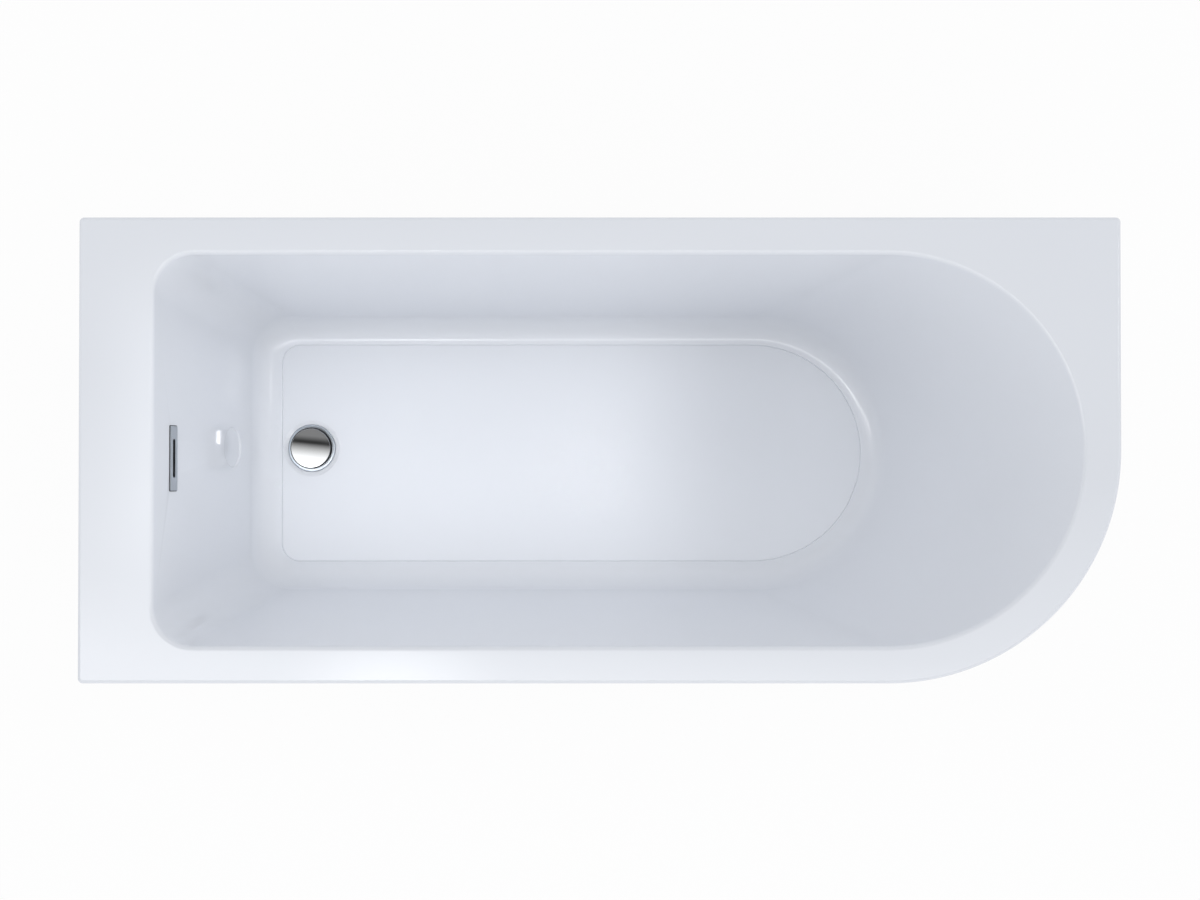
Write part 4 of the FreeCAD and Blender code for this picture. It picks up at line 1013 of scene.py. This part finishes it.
def make_plug_seal():
    """The rubber seal under the plug, with a thin dark lip that shows round the dome as a painted shadow line
    between plug and flange.
    """
    centre, cap, *_ = round_box("plug_cap")
    _, outer, low, high = round_box("plug_gasket")
    lip, neck = cap + SHADOW_LINE_LIP, cap - SHADOW_LINE_LIP + 0.05 * MM
    inner, lip_top = outer - SEAL_WIDTH, high + LIP_HEIGHT
    bm = bmesh.new()
    profile = [(inner, low)] + near(outer, low, (-0.5, 0), (0, 0.5)) + near(outer, high, (0, -0.1))
    profile += near(lip, high, (-0.5, 0), (0, 0.4)) + near(lip, lip_top, (0, -0.3), (-0.3, 0))
    profile += [(neck, lip_top)] + near(neck, high, (0, 0.05)) + near(inner, high, (0, -0.02))
    turn(bm, profile + [(inner, low)], centre, MIRROR_STEPS)
    return make_piece(bm, "plug_seal_and_shadow_lip", "plug_gasket", "plug", sharp=40)


def make_waste_flange():
    """The polished flange with its seat, the threaded tube below it and the three-armed spider."""
    _, radius, low, top = round_box("waste_flange")
    under = top - FLANGE_THICKNESS
    bm = bmesh.new()
    profile = [(radius, under)] + near(radius, top, (0, -1.3), (-0.3, -0.6), (-1, -0.12), (-1.9, 0))
    profile += near(SEAT_RADIUS, top, (0.8, 0), (0, -0.2), (-0.8, -0.7), (-3, -1.6))
    profile += near(TUBE_BORE, top, (2, -1.6), (0.6, -2.1), (0, -3.2)) + [(TUBE_BORE, low)]
    profile += near(TUBE_RADIUS, low, (-0.6, 0), (0, 0.6)) + [(TUBE_RADIUS, under), (radius, under)]
    turn(bm, profile, DRAIN, FINE_STEPS)
    spider = top - SPIDER_DROP
    foot = spider - SPIDER_HEIGHT
    hub = [(HUB_BORE, foot), (HUB_RADIUS, foot), (HUB_RADIUS, spider), (HUB_BORE, spider), (HUB_BORE, foot)]
    turn(bm, hub, DRAIN, HUB_STEPS)
    reach = TUBE_BORE - HUB_RADIUS + 2 * SINK
    for arm in range(SPIDER_ARMS):
        heading = Matrix.Rotation(SPIDER_TURN + 2 * math.pi * arm / SPIDER_ARMS, 4, "Z")
        along = Matrix.Translation((HUB_RADIUS - SINK + reach / 2, 0, 0))
        place = level(DRAIN, spider - SPIDER_HEIGHT / 2) @ heading @ along
        add_bar(bm, place, (reach, SPIDER_ARM, SPIDER_HEIGHT))
    return make_piece(bm, "flange_and_tube", "waste_flange", sharp=40)


def make_overflow_cover():
    """The slim plate with rounded edges and a long slot, and the neck behind it."""
    bm = bmesh.new()
    top, back = OVERFLOW_PLATE, -OVERFLOW_NECK_LENGTH
    outside = [overflow_edge(bm, margin, PLATE_CORNER, z) for margin, z in
               [(0, 0)] + near(0, top, (0, -0.8), (-0.25, -0.25), (-0.8, 0))]
    inside = [overflow_slot(bm, margin, z) for margin, z in
              near(0, top, (0.6, 0), (0.15, -0.2), (0, -0.7)) + [(0, back)]]
    neck = [overflow_slot(bm, OVERFLOW_NECK, z) for z in (back, 0)]
    for rings in (outside, inside, neck):
        bridge(bm, rings)
    fill(bm, outside[-1], inside[0])
    fill(bm, inside[-1], neck[0])
    fill(bm, outside[0], neck[1])
    bmesh.ops.transform(bm, matrix=OVERFLOW_PLACE, verts=bm.verts)
    return even_shading(make_piece(bm, "overflow_plate", "overflow_cover", sharp=40))


def make_overflow_seals():
    """The seal behind the wall, the thin frame of rubber that shows round the plate as a painted shadow line,
    and the slot's dark sleeve, a painted shade inside the slot.
    """
    bm = bmesh.new()
    # A dark rubber frame round the plate: a painted shadow line where the plate meets the wall.
    corner = PLATE_CORNER + SEAL_TUCK
    seal_shadow_band = [(-SEAL_TUCK, 0), (SEAL_SHADOW_LINE, 0), *near(SEAL_SHADOW_LINE, SEAL_HEIGHT, (0, -0.3), (-0.3, 0)),
            (-SEAL_TUCK, SEAL_HEIGHT), (-SEAL_TUCK, 0)]
    bridge(bm, [overflow_edge(bm, margin, corner, z) for margin, z in seal_shadow_band])
    # A dark rubber sleeve lining the slot: painted shade inside the overflow.
    outer, inner, top, back = -SHADE_SLEEVE_GAP, -SHADE_SLEEVE_WALL, OVERFLOW_PLATE - SHADE_SLEEVE_DROP, -OVERFLOW_NECK_LENGTH
    shade_sleeve = [(outer, back), (outer, top), (inner, top), (inner, back), (outer, back)]
    bridge(bm, [overflow_slot(bm, margin, z) for margin, z in shade_sleeve])
    bmesh.ops.transform(bm, matrix=OVERFLOW_PLACE, verts=bm.verts)
    bm.from_mesh(frame["nodes"]["overflow_seal"].data)
    return make_piece(bm, "overflow_seals_and_painted_shade", "overflow_seal", sharp=40)


make_plug_cap()
make_plug_seal()
make_waste_flange()
make_overflow_cover()
make_overflow_seals()


def make_dressed(node, body="bath"):
    """A smooth copy of a small turned or moulded piece."""
    return make_piece(copied(node), node + "_finished", node, body)


for node_name in ("waste_gasket", "waste_washer", "waste_body", "plug_cartridge", "overflow_body",
                  "hose_nut_top", "hose_nut_bottom", "wall_bracket_back_tap", "wall_bracket_back_head",
                  "wall_bracket_tap_end", "wall_bracket_screws", "channel_screws"):
    make_dressed(node_name)
make_dressed("plug_stem", "plug")


# Overflow hose


def hose_route():
    """The hose's route: down from the overflow's spigot, round a bend and along to the waste's inlet."""
    top, bottom = middle_of("hose_nut_top"), middle_of("hose_nut_bottom")
    upper = Vector((top.x, top.y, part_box("overflow_hose")[1].z))
    corner = Vector((top.x, top.y, bottom.z))
    along = DRAIN - corner
    along.z = 0
    end = corner + along * (1 - HOSE_END / along.length)
    return [upper, corner + UP * (end - corner).length, corner, end]


def spline_points(route):
    """Points read along a smooth spline through a route's control points."""
    curve = bpy.data.curves.new("hose_line", "CURVE")
    curve.dimensions = "3D"
    spline = curve.splines.new("NURBS")
    spline.points.add(len(route) - 1)
    for point, place in zip(spline.points, route):
        point.co = (*place, 1)
    spline.order_u = 3
    spline.use_endpoint_u = True
    spline.resolution_u = SPLINE_STEPS
    line = bpy.data.objects.new("hose_line", curve)
    mesh = bpy.data.meshes.new_from_object(line)
    points = [vert.co.copy() for vert in mesh.vertices]
    bpy.data.meshes.remove(mesh)
    bpy.data.objects.remove(line)
    bpy.data.curves.remove(curve)
    return points


def make_hose():
    """A corrugated hose: rings that swell and narrow along the line, with plain cuffs at both ends."""
    points = spline_points(hose_route())
    lengths = [0.0]
    for here, there in zip(points, points[1:]):
        lengths.append(lengths[-1] + (there - here).length)
    total = lengths[-1]

    def spot(along):
        index = next((i for i in range(1, len(lengths)) if lengths[i] >= along), len(lengths) - 1)
        share = (along - lengths[index - 1]) / (lengths[index] - lengths[index - 1])
        return points[index - 1].lerp(points[index], share), (points[index] - points[index - 1]).normalized()

    ribs = round((total - 2 * HOSE_CUFF) / HOSE_PITCH)
    pitch = (total - 2 * HOSE_CUFF) / ribs
    stations = [(0.0, 0.0), (0.5 * HOSE_CUFF, 0.0)]
    for rib in range(ribs):
        for step, share in enumerate(HOSE_SWELL):
            stations.append((HOSE_CUFF + (rib + step / len(HOSE_SWELL)) * pitch, share))
    stations += [(total - 0.5 * HOSE_CUFF, 0.0), (total, 0.0)]
    bm = bmesh.new()
    rings = []
    side = Vector((0, 1, 0))
    for along, share in stations:
        place, heading = spot(along)
        across = side.cross(heading).normalized()
        turned = Matrix((across, heading.cross(across), heading)).transposed().to_4x4()
        rings.append(circle(bm, HOSE_VALLEY + HOSE_RIB * share, COARSE_STEPS,
                            Matrix.Translation(place) @ turned))
    bridge(bm, rings)
    close_ends(bm)
    hose = make_piece(bm, "ribbed_hose", "overflow_hose", sharp=70)
    return hose


make_hose()


# Camera, at the photograph's place straight over the bath

CAMERA_LENS = 55.3
CAMERA_HEIGHT = 3.0
CAMERA_Y = -0.04


def make_camera():
    """A camera that sees the bath as large as the photograph does."""
    camera = bpy.data.objects.new("camera", bpy.data.cameras.new("camera"))
    bpy.context.scene.collection.objects.link(camera)
    camera.data.sensor_width = 36.0
    camera.data.lens = CAMERA_LENS
    camera.data.clip_end = 100
    camera.location = (0, CAMERA_Y, RIM_Z + CAMERA_HEIGHT)
    aim = Vector((0, 0, RIM_Z)) - camera.location
    camera.rotation_euler = aim.to_track_quat("-Z", "Y").to_euler()
    bpy.context.scene.camera = camera


make_camera()


# Studio

CEILING = 3.9
WHITE = (1, 1, 1, 1)
GROUND = (0.86, 0.86, 0.86, 1)
GROUND_GLOW = 0.94
SKY = (0.634, 0.644, 0.662, 1)
CEILING_GREYS = ((0.15, 0.25), (0.21, 1.0), (0.27, 0.95), (0.36, 0.4), (0.50, 0.15), (0.58, 0.01),
                 (0.60, 0.01), (0.665, 0.06))
CEILING_HALF_DEPTH = 1.5
CEILING_STRENGTH = 4.19
RIM_GLOW_STRENGTH = 3.2


def soft_light(name, place, size, radiance, aim=None):
    """A rectangular soft light of an even brightness, where 1 is white. It looks straight down, or at a spot,
    and stays out of the mirrors, which see the studio's ceiling."""
    data = bpy.data.lights.new(name, "AREA")
    data.shape = "RECTANGLE"
    data.size, data.size_y = size
    data.energy = radiance * math.pi * size[0] * size[1]
    light = bpy.data.objects.new(name, data)
    bpy.context.scene.collection.objects.link(light)
    light.location = place
    if aim:
        light.rotation_euler = (Vector(aim) - light.location).to_track_quat("-Z", "Y").to_euler()
    light.visible_camera = False
    light.visible_glossy = False
    return light


def make_lights():
    """Broad lights overhead and at two sides, a pool of light on the tub's floor and a small window."""
    tub = (0, 0, RIM_Z)
    soft_light("back_softbox", (0, 1.6, CEILING), (6.0, 2.6), 0.541)
    soft_light("left_softbox", (-2.6, 0, CEILING), (2.0, 4.0), 0.80)
    soft_light("front_screen", (0, -4.0, 1.9), (7.0, 2.4), 0.837, tub)
    soft_light("right_screen", (4.5, 0, 2.4), (5.0, 1.6), 0.78, tub)
    pool = soft_light("tub_floor_lamp", (-0.31, 0.02, CEILING), (0.88, 0.44), 0.22)
    pool.data.spread = math.radians(6)
    window = soft_light("window", (2.90, 0.62, 5.0), (0.65, 0.36), 9.0, DRAIN)
    window.visible_glossy = True


def make_world():
    """An even grey all round that the camera sees as white."""
    world = bpy.data.worlds.new("studio")
    bpy.context.scene.world = world
    world.use_nodes = True
    wiring = Wiring(world.node_tree)
    seen = wiring.node("ShaderNodeLightPath", output="Is Camera Ray")
    grey = wiring.node("ShaderNodeBackground", inputs={"Color": SKY})
    white = wiring.node("ShaderNodeBackground", inputs={"Color": WHITE})
    either = wiring.node("ShaderNodeMixShader", inputs={0: seen, 1: grey, 2: white})
    wiring.node("ShaderNodeOutputWorld", inputs={"Surface": either})


def stage_sheet(name, half, spot, nodes):
    """A level square of the studio, which isn't part of the bath, with a surface that a function wires up."""
    bm = bmesh.new()
    bmesh.ops.create_grid(bm, x_segments=1, y_segments=1, size=half)
    mesh = bpy.data.meshes.new(name)
    bm.to_mesh(mesh)
    bm.free()
    sheet = bpy.data.objects.new(name, mesh)
    bpy.context.scene.collection.objects.link(sheet)
    sheet.location = spot
    material = bpy.data.materials.new(name)
    material.use_nodes = True
    mesh.materials.append(material)
    wiring = Wiring(material.node_tree)
    wiring.node("ShaderNodeOutputMaterial", inputs={"Surface": nodes(wiring)})
    return sheet


def glow_card(name, half, spot, nodes):
    """A sheet of light that only glossy faces see."""
    card = stage_sheet(name, half, spot, nodes)
    for ray in ("camera", "diffuse", "transmission", "volume_scatter", "shadow"):
        setattr(card, "visible_" + ray, False)
    return card


def ceiling_glow(wiring):
    """Bright at the front, with a dark gap and a grey back."""
    across = wiring.node("ShaderNodeSeparateXYZ", inputs={"Vector": wiring.coordinates()}, output="Y")
    inputs = {"Value": across, "From Min": -CEILING_HALF_DEPTH, "From Max": CEILING_HALF_DEPTH}
    share = wiring.node("ShaderNodeMapRange", inputs=inputs)
    stops = [(spot, (grey, grey, grey)) for spot, grey in CEILING_GREYS]
    greys = wiring.node("ShaderNodeValToRGB", {"stops": stops}, {"Fac": share})
    return wiring.node("ShaderNodeEmission", inputs={"Color": greys, "Strength": CEILING_STRENGTH})


def spot_glow(wiring):
    """Bright in the middle and fading out to a clear edge."""
    away = wiring.node("ShaderNodeVectorMath", {"operation": "LENGTH"}, {0: wiring.coordinates()}, "Value")
    inputs = {"Value": away, "From Max": 1.0, "To Min": RIM_GLOW_STRENGTH, "To Max": 0.0}
    fade = wiring.node("ShaderNodeMapRange", {"interpolation_type": "SMOOTHSTEP"}, inputs)
    glow = wiring.node("ShaderNodeEmission", inputs={"Strength": fade})
    return wiring.node("ShaderNodeAddShader", inputs={0: glow, 1: wiring.node("ShaderNodeBsdfTransparent")})


def make_cards():
    """What glossy faces see overhead."""
    ceiling = glow_card("studio_ceiling", 2.225, (-0.375, -0.076, CEILING - 0.2), ceiling_glow)
    ceiling.rotation_euler.z = math.radians(-6)
    spot = glow_card("rim_glow", 1.0, (-0.67, -0.74, CEILING - 0.35), spot_glow)
    spot.scale = (0.42, 0.34, 1)


def pale_ground(wiring):
    """A pale matt floor that looks white to the camera and in mirrors, and still takes the bath's shadow."""
    matt = wiring.node("ShaderNodeBsdfPrincipled", inputs={"Base Color": GROUND, "Roughness": 0.9})
    camera, mirrored, through = (wiring.node("ShaderNodeLightPath", output=f"Is {ray} Ray")
                                 for ray in ("Camera", "Glossy", "Transmission"))
    seen = camera.most(mirrored).most(through) * GROUND_GLOW
    glow = wiring.node("ShaderNodeEmission", inputs={"Color": WHITE})
    return wiring.node("ShaderNodeMixShader", inputs={0: seen, 1: matt, 2: glow})


make_lights()
make_world()
stage_sheet("studio_floor", 12.0, (0, 0, -0.2 * MM), pale_ground)
make_cards()
bpy.context.scene.view_settings.view_transform = "Standard"
